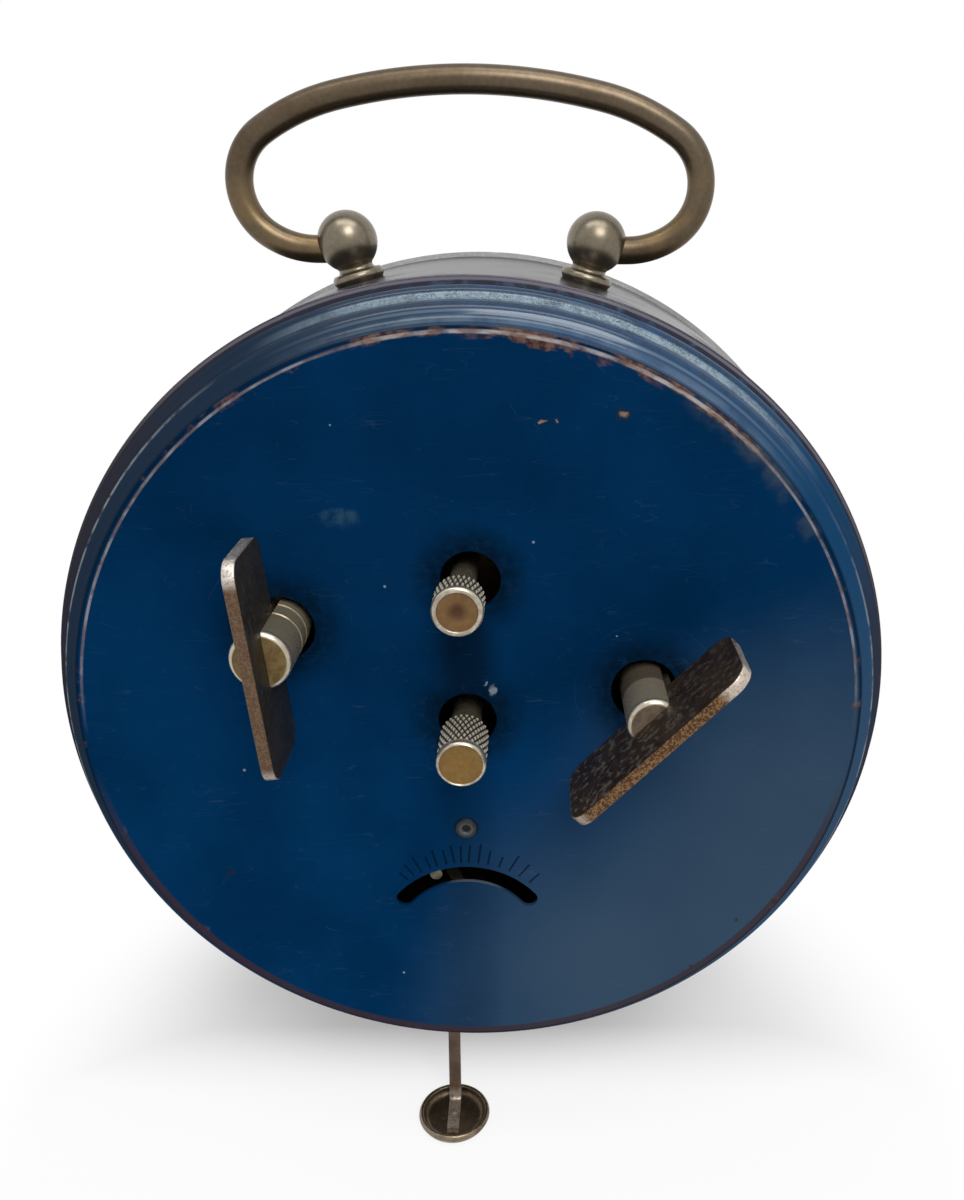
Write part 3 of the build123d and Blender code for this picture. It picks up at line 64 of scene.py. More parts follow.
# %% Read the axis and the back
drum_low, drum_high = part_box("case_drum")
cover_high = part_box("rear_cover")[1]
edge_bead = 0.15
axis_height = (drum_low.z + drum_high.z) / 2 / mm
back = cover_high.y / mm - edge_bead
drum_radius = round((drum_high.x - drum_low.x) / 2 / mm, 1)
drum_rear = back - drum_high.y / mm
drum_front = back - drum_low.y / mm


def box_place(node):
    """The (x, z) place of the middle of a model node, from the case's axis, in millimetres."""
    low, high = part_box(node)
    return ((low.x + high.x) / 2 / mm, (low.z + high.z) / 2 / mm - axis_height)


def box_depths(node):
    """The rearmost and foremost depths of a model node, in millimetres."""
    low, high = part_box(node)
    return back - high.y / mm, back - low.y / mm


centre = box_place("time_set_knob")
alarm_set = box_place("alarm_set_knob")
time_key = box_place("time_key_barrel")
alarm_key = box_place("alarm_key_barrel")
print("axis height", round(axis_height, 2), "drum radius", round(drum_radius, 2))
print("knobs", centre, alarm_set, "keys", time_key, alarm_key)

# %% [markdown]
# ## Turning
# Most of a clock is turned or spun: the back, the drum, the bezel, the ball posts, the feet,
# the knobs. In Blender such a piece is one outline swung about an axis. The outline could be a
# curve with a Screw modifier. Here a plane is merged to a single vertex, the vertex is extruded
# from corner to corner, and the Spin operator turns the line into a surface.


# %% Helpers: select nothing, turn an outline, place a finished piece
def deselect():
    """Leaves edit mode and selects nothing."""
    if bpy.context.object and bpy.context.object.mode != "OBJECT":
        bpy.ops.object.mode_set(mode="OBJECT")
    bpy.ops.object.select_all(action="DESELECT")


def take(*pieces):
    """Selects these pieces alone and makes the first one active."""
    deselect()
    for piece in pieces:
        piece.select_set(True)
    bpy.context.view_layer.objects.active = pieces[0]


def edit(action="SELECT"):
    """Goes into edit mode with everything selected, or nothing."""
    bpy.ops.object.mode_set(mode="EDIT")
    bpy.ops.mesh.select_all(action=action)


def leave_edit():
    bpy.ops.object.mode_set(mode="OBJECT")


def face_outward():
    """Turns every face outwards and leaves edit mode."""
    bpy.ops.mesh.select_all(action="SELECT")
    bpy.ops.mesh.normals_make_consistent(inside=False)
    leave_edit()


def smooth(sharp):
    """Smooth shading over every edge that turns by less than this many degrees."""
    bpy.ops.object.shade_smooth_by_angle(angle=radians(sharp))


def draw_line(corners):
    """Leaves a new mesh in edit mode that holds one line through the corners, in millimetres."""
    deselect()
    bpy.ops.mesh.primitive_plane_add(size=mm)
    edit()
    bpy.ops.mesh.merge(type="CENTER")
    here = Vector(corners[0]) * mm
    bpy.ops.transform.translate(value=here)
    for corner in corners[1:]:
        step = Vector(corner) * mm - here
        bpy.ops.mesh.extrude_vertices_move(TRANSFORM_OT_translate={"value": step})
        here += step
    return bpy.context.object


def turned(name, outline, steps=96, sharp=35):
    """Swings an outline of (radius, height) corners about Z and gives it smooth shading."""
    piece = draw_line([(radius, 0, height) for radius, height in outline])
    bpy.ops.mesh.select_all(action="SELECT")
    bpy.ops.mesh.spin(steps=steps, angle=2 * pi, center=(0, 0, 0), axis=(0, 0, 1))
    bpy.ops.mesh.select_all(action="SELECT")
    bpy.ops.mesh.remove_doubles(threshold=0.002 * mm)
    bpy.ops.mesh.dissolve_degenerate(threshold=0.001 * mm)
    face_outward()
    smooth(sharp)
    piece.name = name
    return piece


def settle(piece, place, turn=(0, 0, 0)):
    """Turns and moves a piece, then puts its place into its mesh."""
    take(piece)
    piece.rotation_euler = turn
    piece.location = Vector(place) * mm
    bpy.ops.object.transform_apply(location=True, rotation=True, scale=True)
    return piece


def on_back(piece, place=(0, 0), depth=0.0):
    """Settles a piece made about Z so that its +Z points out of the clock's back."""
    return settle(piece, (place[0], back - depth, axis_height + place[1]), (-pi / 2, 0, 0))


def arc(start, middle, end, count=6):
    """Points along the arc through three points, without the first one."""
    a, b, c = Vector(start), Vector(middle), Vector(end)
    p, q = b - a, c - a
    cross = 2 * (p.x * q.y - p.y * q.x)
    hub = a + Vector((q.y * p.length_squared - p.y * q.length_squared,
                      p.x * q.length_squared - q.x * p.length_squared)) / cross
    first = atan2(a.y - hub.y, a.x - hub.x)
    turn = atan2(c.y - hub.y, c.x - hub.x) - first
    if cross > 0 and turn < 0:
        turn += 2 * pi
    if cross < 0 and turn > 0:
        turn -= 2 * pi
    radius = (a - hub).length
    angles = [first + turn * step / count for step in range(1, count + 1)]
    return [(hub.x + radius * cos(angle), hub.y + radius * sin(angle)) for angle in angles]


def polar(place, distance, angle):
    """The point at a distance and an angle, in degrees, from a place."""
    return (place[0] + distance * cos(radians(angle)), place[1] + distance * sin(radians(angle)))


def apply_modifier(piece, kind, **settings):
    """Adds a modifier with these settings and applies it at once."""
    take(piece)
    modifier = piece.modifiers.new(kind.title(), kind)
    for key, value in settings.items():
        setattr(modifier, key, value)
    bpy.ops.object.modifier_apply(modifier=modifier.name)


def cut(piece, cutter):
    """Cuts one mesh out of another and throws the cutter away."""
    apply_modifier(piece, "BOOLEAN", object=cutter, operation="DIFFERENCE", solver="EXACT")
    bpy.data.objects.remove(cutter)


def join(pieces, name):
    """Makes one piece of several."""
    take(*pieces)
    bpy.ops.object.join()
    bpy.context.object.name = name
    return bpy.context.object


def block(x, y, z):
    """A box of this many millimetres each way, round the origin."""
    deselect()
    bpy.ops.mesh.primitive_cube_add(size=1)
    piece = bpy.context.object
    piece.scale = (x * mm, y * mm, z * mm)
    bpy.ops.object.transform_apply(scale=True)
    return piece


def peg(radius, start, end, steps):
    """A plain round peg along Z, for cutting a hole or joining on."""
    return turned("peg", [(0, start), (radius, start), (radius, end), (0, end)], steps)


def report(*pieces):
    """Prints each piece's triangles, and how many edges do not join exactly two faces."""
    for piece in pieces:
        shared = {}
        for face in piece.data.polygons:
            for key in face.edge_keys:
                shared[key] = shared.get(key, 0) + 1
        loose = sum(count != 2 for count in shared.values())
        triangles = sum(len(face.vertices) - 2 for face in piece.data.polygons)
        print(piece.name, triangles, "triangles", loose, "open edges")


# %% [markdown]
# ## The blue back
# The real back is a pressed steel pan. Its flat ends in a small worn bead, and round that runs
# a stepped shoulder down to the drum. One outline holds all of it, wall included, so the holes
# show a real sheet edge. Many steps round the rim keep its outline smooth against the light.

# %% Turn the back
cover_rim = 5.3
flat_radius = drum_radius - cover_rim
sheet = 0.6
shoulder = [
    ((0, 0), (0.4, -edge_bead), (0.8, 0.1)),
    ((0.8, 0.1), (1.2, 1.0), (1.9, 1.5)),
    ((1.9, 1.5), (2.6, 2.0), (3.0, 2.9)),
    ((3.0, 2.9), (3.25, 3.6), (3.7, 4.2)),
    ((3.7, 4.2), (4.2, 4.6), (4.4, 5.3)),
]
cover_outline = [(0, 0), (flat_radius, 0)]
for start, middle, end in shoulder:
    bend = [(flat_radius + out, -depth) for out, depth in (start, middle, end)]
    cover_outline += arc(*bend, count=7)
cover_outline += [
    (drum_radius - 0.85, -5.9),
    (drum_radius - 0.55, -6.1),
    (drum_radius - 0.5, 0.7 - drum_rear),
    (drum_radius - 0.2, 0.5 - drum_rear),
    (drum_radius - 0.2, -drum_rear),
    (drum_radius - 1.4, -drum_rear),
    (drum_radius - 1.4, 1.1 - drum_rear),
    (flat_radius + 3.0, -5.1),
    (flat_radius + 1.9, -3.5),
    (flat_radius + 0.7, -2.2),
    (flat_radius - 0.1, -sheet),
    (0, -sheet),
]
rear_cover = on_back(turned("blue_back", cover_outline, steps=288, sharp=40))
report(rear_cover)

# %% [markdown]
# ## Holes in the back
# The knobs and keys pass through round holes, and the regulator's curved slot sits below them
# with a row of hand-stamped marks over it. Each hole is cut with a Boolean: the cutter is a
# plain turned plug, and for the slot a face that is spun through the slot's own arc.

# %% Cut the round holes
balance = (1.2, -32.4)
holes = [((0.5, 0.5), 3.55), ((-0.2, 18.6), 3.55), ((-20.9, 4.5), 4.0), ((22.2, 12.55), 4.0)]
for place, radius in holes:
    cut(rear_cover, on_back(peg(radius, 1, -2, 72), place))
print("holes cut:", len(holes))

# %% Cut the regulator slot
slot_radius = 10.6
slot_width = 2.3
slot_start = 41.0
slot_sweep = 99.0
slot_ends = [polar(balance, slot_radius, slot_start + turn) for turn in (0, slot_sweep)]
for place in slot_ends:
    cut(rear_cover, on_back(peg(slot_width / 2, 1, -2, 48), place))
deselect()
bpy.ops.mesh.primitive_plane_add(size=1)
slot_cutter = bpy.context.object
slot_cutter.scale = (slot_width * mm, 3 * mm, 1)
slot_cutter.rotation_euler = (pi / 2, 0, 0)
slot_cutter.location = (slot_radius * mm, 0, -0.5 * mm)
bpy.ops.object.transform_apply(location=True, rotation=True, scale=True)
edit()
bpy.ops.mesh.spin(steps=48, angle=radians(slot_sweep), center=(0, 0, 0), axis=(0, 0, 1))
face_outward()
settle(slot_cutter, (0, 0, 0), (0, 0, -radians(slot_start)))
cut(rear_cover, on_back(slot_cutter, balance))
report(rear_cover)

# %% [markdown]
# The marks over the slot were struck by hand, so they are uneven in place, length and lean.
# Each is a shallow groove with sloping sides: a thin box whose lower edge is pinched.

# %% Strike the regulator marks
mark_angles = [52, 57, 62.5, 68.5, 73, 78.5, 83, 87.5, 92, 97.5, 103, 110, 117, 124, 131.5]
mark_lengths = [1.6, 2.2, 2.7, 2.0, 2.7, 2.4, 2.8, 2.6, 2.7, 3.0, 2.2, 1.8, 2.8, 2.3, 2.0]
mark_inner = 12.3
mark_depth = 0.14
mark_width = 0.44
marks = []
for angle, length in zip(mark_angles, mark_lengths):
    mark = block(length, mark_width, 2 * mark_depth)
    edit("DESELECT")
    leave_edit()
    for vertex in mark.data.vertices:
        vertex.select = vertex.co.z < 0
    bpy.ops.object.mode_set(mode="EDIT")
    bpy.ops.transform.resize(value=(0.92, 0.25, 1))
    leave_edit()
    lean = radians(4 * sin(angle))
    settle(mark, (mark_inner + length / 2, 0, 0), (0, 0, lean))
    settle(mark, (0, 0, 0), (0, 0, -radians(angle)))
    marks.append(mark)
cut(rear_cover, on_back(join(marks, "marks"), balance))
take(rear_cover)
smooth(40)
print("marks struck:", len(marks), "faces:", len(rear_cover.data.polygons))

# %% [markdown]
# ## The drum and the bezel
# The drum is a rolled band of nickelled brass, open at both ends. The bezel is a spun ring that
# holds the glass: it bulges a little past the drum and dips in towards the dial.

# %% Turn the drum
drum_wall = 0.7
drum_edge = 0.15
drum_inside = drum_radius - drum_wall
drum_outline = [
    (drum_inside, -drum_rear),
    (drum_radius - drum_edge, -drum_rear),
    (drum_radius, -drum_rear - drum_edge),
    (drum_radius, -drum_front),
    (drum_inside, -drum_front),
    (drum_inside, -drum_rear),
]
drum = on_back(turned("drum", drum_outline, steps=288, sharp=30))

# %% Turn the bezel
bezel_front = box_depths("front_bezel")[1]
bezel_bulge = 0.6
bezel_opening = drum_radius - 5.2
glass_seat = 1.55
bezel_lap = 4.0
lap_radius = drum_inside - 0.05
glass_rear, glass_front = box_depths("glass")
bezel_outline = [(drum_radius, -drum_front), (drum_radius + bezel_bulge, -drum_front - 0.7)]
bezel_outline += arc(bezel_outline[-1], (drum_radius, 0.7 - bezel_front),
                     (bezel_opening + 3.4, -bezel_front), count=10)
bezel_outline += arc(bezel_outline[-1], (bezel_opening + 1.8, 0.5 - bezel_front),
                     (bezel_opening + 0.6, 1.3 - bezel_front), count=8)
bezel_outline += [
    (bezel_opening, 1.5 - bezel_front),
    (bezel_opening, -glass_front),
    (bezel_opening + glass_seat, -glass_front),
    (bezel_opening + glass_seat, -glass_rear),
    (lap_radius - 1.1, -glass_rear),
    (lap_radius - 1.1, bezel_lap - drum_front),
    (lap_radius, bezel_lap - drum_front),
    (lap_radius, -drum_front),
    (drum_radius, -drum_front),
]
bezel = on_back(turned("bezel", bezel_outline, steps=288, sharp=35))
report(drum, bezel)

# %% [markdown]
# ## The bail handle
# A bail is one round rod, bent seven times: a tight bend at each side, one below and one above
# it, and a long shallow bend over the top. It can be modelled as it is bent: a circle is
# extruded for the straight end, then spun about the centre of each bend in turn. Half a handle
# is enough, because a Mirror modifier makes the other half and welds it in the middle.

# %% Work out the bends
rod = 3.3
handle_low, handle_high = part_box("handle")
handle_depth = (box_depths("handle")[0] + box_depths("handle")[1]) / 2
handle_top = handle_high.z / mm - axis_height - rod / 2
handle_rise = 19.0
pivot_height = handle_top - handle_rise
half_width = (handle_high.x - handle_low.x) / 2 / mm - rod / 2
rod_end = 13.4
rod_lead = 19.0
top_bend = 70.0
top_angle = 13.0
shoulder_bend = 27.0
side_bend = 7.0
side_x = half_width - side_bend
shoulder_x = (top_bend - shoulder_bend) * sin(radians(top_angle))
shoulder_z = handle_top - top_bend + (top_bend - shoulder_bend) * cos(radians(top_angle))
side_angle = degrees(asin((side_x - shoulder_x) / (shoulder_bend - side_bend)))
side_z = shoulder_z + (shoulder_bend - side_bend) * cos(radians(side_angle))
rise = pivot_height - side_z
low_bend = (side_bend**2 - (side_x - rod_lead) ** 2 - rise**2) / (2 * (rise + side_bend))
low_angle = 90 - degrees(atan2(pivot_height + low_bend - side_z, side_x - rod_lead))
print("bends of radius", round(low_bend, 2), side_bend, shoulder_bend, top_bend)

# %% Bend the handle
deselect()
bpy.ops.mesh.primitive_circle_add(vertices=40, radius=rod / 2 * mm, fill_type="NGON")
handle = bpy.context.object
handle.name = "bail_handle"
settle(handle, (rod_end, 0, pivot_height), (0, pi / 2, 0))
edit()
bpy.ops.mesh.extrude_region_move(
    TRANSFORM_OT_translate={"value": ((rod_lead - rod_end) * mm, 0, 0)})
bends = [
    ((rod_lead, pivot_height + low_bend), low_angle, 14),
    ((side_x, side_z), 180 - side_angle - low_angle, 36),
    ((shoulder_x, shoulder_z), side_angle - top_angle, 16),
    ((0, handle_top - top_bend), top_angle, 18),
]
for (x, z), angle, steps in bends:
    bpy.ops.mesh.spin(
        steps=steps, angle=radians(angle), center=(x * mm, 0, z * mm), axis=(0, 1, 0)
    )
leave_edit()
top = max(v.co.z for v in handle.data.vertices) / mm
print("handle half: top", round(top, 2), "wanted", round(handle_top + rod / 2, 2))

# %% Mirror the handle and put it at its depth
take(handle)
for face in handle.data.polygons:
    face.select = abs(face.center.x) < 0.01 * mm
bpy.ops.object.mode_set(mode="EDIT")
bpy.ops.mesh.delete(type="ONLY_FACE")
leave_edit()
apply_modifier(handle, "MIRROR", use_axis=(True, False, False), merge_threshold=0.02 * mm)
edit()
bpy.ops.mesh.remove_doubles(threshold=0.005 * mm)
face_outward()
smooth(40)
settle(handle, (0, back - handle_depth, axis_height))
report(handle)

# %% [markdown]
# ## Ball posts and front feet
# Both are screw-machine parts: a collar seats on the drum, a neck rises from it, and a ball
# closes the end. The handle's rod ends turn in the upper pair. The lower pair are filed flat
# where they stand: a block as wide as the table is cut away from them.

# %% Turn a post and place the pair
post_angle = 15.5
ball_radius = 3.65
ball_height = 4.9
collar = 3.2
collar_height = 1.3
neck = 2.2
stud = 1.3
stud_length = 5.8


def post_outline():
    """A post's outline: stud, collar, neck and ball, by distance from the case's axis."""
    seat = drum_radius
    ball = seat + ball_height
    start = (neck, ball - sqrt(ball_radius**2 - neck**2))
    outline = [(0, seat - stud_length), (stud, seat - stud_length), (stud, seat - 0.2)]
    outline += [(collar - 0.3, seat - 0.2), (collar - 0.2, seat + 0.1)]
    outline += arc(outline[-1], (collar, seat + collar_height / 2),
                   (collar - 0.35, seat + collar_height - 0.05), count=10)
    outline += arc((neck + 0.3, seat + collar_height - 0.05),
                   (neck + 0.03, seat + collar_height + 0.1), start, count=5)
    outline += arc(start, (ball_radius, ball), (0, ball + ball_radius), count=30)
    return outline


posts = []
for name, side in (("handle_post_left_ball", -1), ("handle_post_right_ball", 1)):
    post = turned(name, post_outline(), steps=72, sharp=32)
    settle(post, (0, back - handle_depth, axis_height), (0, radians(side * post_angle), 0))
    posts.append(post)
report(*posts)

# %% Turn a front foot and place the pair
foot_angle = 17.0
foot_depth = 34.6
foot_ball = 2.6
foot_neck = 1.7
filed_off = 0.5
foot_distance = (axis_height + filed_off - foot_ball) / cos(radians(foot_angle))


def foot_outline():
    """A front foot's outline, with a longer and slimmer neck than a post's."""
    seat = drum_radius
    start = (foot_neck, foot_distance - sqrt(foot_ball**2 - foot_neck**2))
    outline = [(0, seat - 2), (stud, seat - 2), (stud, seat - 0.2), (collar, seat - 0.2)]
    outline += [(collar, seat + collar_height - 0.4)]
    outline += arc(outline[-1], (collar - 0.12, seat + collar_height - 0.12),
                   (collar - 0.4, seat + collar_height), count=4)
    outline += [(foot_neck + 0.5, seat + collar_height + 0.15)]
    waist = (foot_neck, seat + 2 * collar_height)
    outline += arc(outline[-1], (foot_neck + 0.1, seat + 1.5 * collar_height), waist, count=5)
    outline += arc(waist, (foot_neck + 0.6, (seat + foot_distance) / 2), start, count=16)
    outline += arc(start, (foot_ball, foot_distance), (0, foot_distance + foot_ball), count=24)
    return outline


feet = []
for name, side in (("front_foot_left_ball", -1), ("front_foot_right_ball", 1)):
    foot = turned(name, foot_outline(), steps=60, sharp=32)
    turn = (0, pi - radians(side * foot_angle), 0)
    settle(foot, (0, back - foot_depth, axis_height), turn)
    deselect()
    bpy.ops.mesh.primitive_cube_add(size=0.2, location=(0, 0, -0.1))
    cut(foot, bpy.context.object)
    smooth(32)
    feet.append(foot)
report(*feet)

# %% [markdown]
# ## The rear foot
# Behind, the clock leans on a bent steel strap that is riveted into a small pressed dish. The
# strap is drawn as one line in profile, extruded sideways, and thickened with Solidify. The
# dish is turned, its rim rolled outwards.

# %% Bend the strap
leg_x = 4.2
leg_width = 1.7
leg_thick = 1.0
eye_radius = 2.3
eye_hole = 0.95
leg_seat = axis_height - drum_radius
screw_depth = 16.0
pad_depth = 5.0
pad_floor = 0.6
strap_run = [
    (pad_depth - 3.2, pad_floor + leg_thick / 2),
    (pad_depth + 2.6, pad_floor + leg_thick / 2),
    (pad_depth + 3.6, leg_seat / 2),
    (pad_depth + 4.6, leg_seat - leg_thick / 2),
    (screw_depth + 1.9, leg_seat - leg_thick / 2),
]


def rounded(corners, radius, count=6):
    """A line of corners with an arc of this radius at each bend."""
    line = [corners[0]]
    for before, corner, after in zip(corners, corners[1:], corners[2:]):
        here = Vector(corner)
        inward, onward = (Vector(before) - here).normalized(), (Vector(after) - here).normalized()
        half = inward.angle(onward) / 2
        if abs(half - pi / 2) < 0.03:
            line.append(corner)
            continue
        start, end = here + inward * radius / tan(half), here + onward * radius / tan(half)
        middle = here + (inward + onward).normalized() * radius * (1 / sin(half) - 1)
        line.append(tuple(start))
        line += arc(start, middle, end, count)
    return line + [corners[-1]]


strap = draw_line([(leg_x - leg_width / 2, back - y, z) for y, z in rounded(strap_run, 1.2)])
strap.name = "rear_strap"
bpy.ops.mesh.select_all(action="SELECT")
bpy.ops.mesh.extrude_edges_move(TRANSFORM_OT_translate={"value": (leg_width * mm, 0, 0)})
face_outward()
settle(strap, (0, 0, 0))
apply_modifier(strap, "SOLIDIFY", thickness=leg_thick * mm, offset=0, use_even_offset=True)
eye_place = (leg_x, back - screw_depth, leg_seat - leg_thick / 2)
eye = settle(peg(eye_radius, -leg_thick / 2, leg_thick / 2, 48), eye_place)
apply_modifier(strap, "BOOLEAN", object=eye, operation="UNION", solver="EXACT")
bpy.data.objects.remove(eye)
cut(strap, settle(peg(eye_hole, -leg_thick, leg_thick, 32), eye_place))
apply_modifier(strap, "BEVEL", width=0.14 * mm, segments=2, limit_method="ANGLE")
smooth(35)
report(strap)

# %% Turn the dish
pad_radius = 5.2
pad_height = 1.8
dish_outline = [(0.45, pad_floor), (0.45, 0), (pad_radius - 1.3, 0)]
dish_outline += arc(dish_outline[-1], (pad_radius - 0.5, 0.3), (pad_radius - 0.2, 0.8), count=6)
dish_outline += arc(dish_outline[-1], (pad_radius, pad_height - 0.6),
                    (pad_radius - 0.1, pad_height - 0.25), count=5)
dish_outline += arc(dish_outline[-1], (pad_radius - 0.4, pad_height),
                    (pad_radius - 0.75, pad_height - 0.3), count=8)
dish_outline += arc(dish_outline[-1], (pad_radius - 0.95, 1.0),
                    (pad_radius - 1.6, pad_floor), count=6)
dish_outline += [(0.45, pad_floor)]
dish = turned("rear_dish", dish_outline, steps=120, sharp=40)
settle(dish, (leg_x, back - pad_depth, 0))
report(dish)

# %% [markdown]
# ## Winding keys
# A key is a turned barrel, slotted across its end, with a flat wing brazed into the slot. The
# wing is a block whose four corners are rounded with a bevel, and whose long edges are then
# broken with a finer one. The slot is the wing's own thickness cut across the barrel.

# %% Helper: a key barrel
wing_long = 25.9
wing_thick = 1.4
wing_corner = 2.4
hub_depth = 3.5


def key_barrel(name, place, node, radius, angle, slot_depth, grooves):
    """A barrel with turned grooves, slotted across its end at the wing's angle."""
    face = -box_depths(node)[0]
    outline = [(0, face - 0.12), (0.5, face)]
    outline += [(radius - 0.75, face)]
    outline += arc(outline[-1], (radius - 0.2, face - 0.2), (radius, face - 0.75), count=6)
    for groove, half_width, sink in grooves:
        outline += [
            (radius, groove + half_width),
            (radius - sink, groove + 0.5 * half_width),
            (radius - sink, groove - 0.5 * half_width),
            (radius, groove - half_width),
        ]
    outline += [(radius, -hub_depth + 0.2), (radius - 0.2, -hub_depth), (0, -hub_depth)]
    barrel = turned(name, outline, steps=96, sharp=32)
    slot = block(3 * radius, wing_thick, 2 * (face + slot_depth))
    cut(barrel, settle(slot, (0, 0, face), (0, 0, -radians(angle))))
    smooth(32)
    on_back(barrel, place)
    return barrel


# %% Helper: a key wing
def key_wing(name, place, node, angle):
    """A flat wing, as thick and as long as every key's, at its own angle."""
    rear, front = box_depths(node)
    wing = block(wing_long, wing_thick, front - rear)
    wing.name = name
    bpy.ops.object.mode_set(mode="EDIT")
    bpy.ops.mesh.select_mode(type="EDGE")
    bpy.ops.mesh.select_all(action="DESELECT")
    leave_edit()
    points = wing.data.vertices
    for edge in wing.data.edges:
        a, b = (points[index].co for index in edge.vertices)
        edge.select = abs(a.y - b.y) > 0.1 * mm
    bpy.ops.object.mode_set(mode="EDIT")
    bpy.ops.mesh.bevel(offset=wing_corner * mm, segments=10)
    bpy.ops.mesh.select_mode(type="VERT")
    leave_edit()
    apply_modifier(wing, "BEVEL", width=0.16 * mm, segments=3, limit_method="ANGLE")
    smooth(35)
    settle(wing, (0, 0, 0), (0, 0, -radians(angle)))
    return on_back(wing, place, (rear + front) / 2)


# %% Make both keys
time_wing_angle = 134.3
alarm_wing_angle = 84.6
time_barrel = key_barrel("time_key_hub", time_key, "time_key_barrel", 3.1, time_wing_angle, 4.9, [])
alarm_grooves = [(3.7, 0.2, 0.14), (1.05, 0.25, 0.12)]
alarm_barrel = key_barrel(
    "alarm_key_hub", alarm_key, "alarm_key_barrel", 3.5, alarm_wing_angle, 3.3, alarm_grooves
)
time_wing = key_wing("time_key_plate", time_key, "time_key_wing", time_wing_angle)
alarm_wing = key_wing("alarm_key_plate", alarm_key, "alarm_key_wing", alarm_wing_angle)
report(time_barrel, alarm_barrel, time_wing, alarm_wing)

# %% [markdown]
# ## Knurled knobs
# A knurl is rolled into a knob by two hard wheels, which press crossing grooves into it. The
# knob is turned with many rows and columns, and then each point of its side sinks by the
# depth of the deeper groove that passes it. The grooves of one wheel climb to the left and
# those of the other to the right, so the metal left between them stands up in diamonds.

# %% Turn a knob and press its knurl
knob_radius = 2.9
knurl_depth = 0.24


def groove_at(phase):
    """How deep one wheel's groove is here: 1 in its middle, 0 on the flat between two."""
    away = abs(phase - floor(phase) - 0.5) * 2
    return max(0.0, 1 - away / 0.72)


def knurled_knob(name, place, node, count, climb, band, face_radius, middle):
    """A knob with so many grooves round it, which climb at this rate, below a plain band."""
    rear, front = box_depths(node)
    top, foot = -rear, -front
    knurl_top, knurl_foot = top - band, foot + 0.25
    rows = 44
    outline = [(radius, top - 0.3 + height) for radius, height in middle]
    outline += arc((face_radius, top - 0.3), (face_radius + 0.12, top - 0.04),
                   (face_radius + 0.2, top), 4)
    outline += arc(outline[-1], (knob_radius - 0.1, top - 0.16), (knob_radius, top - 0.5), 7)
    outline += [(knob_radius, knurl_top)]
    step = (knurl_top - knurl_foot) / rows
    outline += [(knob_radius, knurl_top - step * row) for row in range(1, rows + 1)]
    outline += [(knob_radius - 0.2, foot), (0, foot)]
    knob = turned(name, outline, steps=240, sharp=50)
    for vertex in knob.data.vertices:
        radius = sqrt(vertex.co.x**2 + vertex.co.y**2) / mm
        height = vertex.co.z / mm
        if radius < knob_radius - 0.01 or not knurl_foot - 0.01 < height < knurl_top - 0.01:
            continue
        around = atan2(vertex.co.y, vertex.co.x) / (2 * pi) * count
        sink = max(groove_at(around + climb * height), groove_at(around - climb * height))
        scale = 1 - knurl_depth * sink / radius
        vertex.co.x *= scale
        vertex.co.y *= scale
    smooth(28)
    return on_back(knob, place)


bump = [(0, 0.14), (0.22, 0.12), (0.36, 0.06), (0.45, 0)]
dimple = [(0, -0.1), (0.25, -0.085), (0.6, -0.03), (0.85, 0)]
time_knob = knurled_knob("time_setting_knob", centre, "time_set_knob", 26, 0.62, 0.95, 2.42, bump)
alarm_knob = knurled_knob(
    "alarm_setting_knob", alarm_set, "alarm_set_knob", 30, 0.42, 0.75, 2.2, dimple
)
report(time_knob, alarm_knob)

# %% [markdown]
# ## The front
# The dial is a painted disc with printed figures, so the figures, the minute ring and the small
# alarm ring are thin shapes lying on it. Text objects become meshes before they are placed.
# The hands are stamped from sheet: an outline is drawn point by point, filled and thickened.

# %% Print the dial
dial_front = box_depths("dial")[1]
ink = 0.05


def on_dial(piece, place, depth, turn=0.0):
    """Settles a piece made about Z so that its +Z points out of the dial; the turn is clockwise."""
    settle(piece, (0, 0, 0), (0, 0, -radians(turn)))
    return settle(piece, (place[0], back - depth, axis_height + place[1]), (pi / 2, 0, 0))


def ring(outer, inner, thick):
    """A flat ring, for printing on the dial."""
    flat = [(inner, 0), (outer, 0), (outer, thick), (inner, thick), (inner, 0)]
    return turned("ring", flat, steps=180, sharp=30)


def minute_track(place, radius, count, long, short, every, name):
    """Marks between two printed rings, with a long mark at every so many."""
    marks = []
    for index in range(count):
        main = index % every == 0
        length, width = (long, 0.5) if main else (short, 0.22)
        mark = settle(block(width, length, ink), (0, radius - length / 2, ink / 2))
        marks.append(on_dial(mark, place, dial_front, 360 * index / count))
    for outer in (radius + 0.25, radius - short - 0.05):
        marks.append(on_dial(ring(outer, outer - 0.22, ink), place, dial_front))
    return join(marks, name)


numeral_size = 9.6
numeral_reach = 33.6
numerals = []
for hour in range(1, 13):
    deselect()
    bpy.ops.object.text_add()
    numeral = bpy.context.object
    numeral.data.body = str(hour)
    numeral.data.size = numeral_size * mm
    numeral.data.extrude = ink / 2 * mm
    numeral.data.offset = 0.05 * mm
    numeral.data.align_x, numeral.data.align_y = "CENTER", "CENTER"
    numeral.data.space_character = 0.9
    bpy.ops.object.convert(target="MESH")
    numeral = bpy.context.object
    x, z = polar((0, 0), numeral_reach, 90 - 30 * hour)
    settle(numeral, (0, 0, ink / 2))
    numerals.append(on_dial(numeral, (x, z), dial_front))
numerals = join(numerals, "dial_numerals")
track = minute_track((0, 0), 43.6, 60, 2.6, 2.0, 5, "dial_minute_track")
alarm_track = minute_track(alarm_set, 11.4, 48, 1.6, 0.8, 4, "dial_alarm_track")
report(numerals, track, alarm_track)

# %% Stamp the hands
hand_thick = 0.5


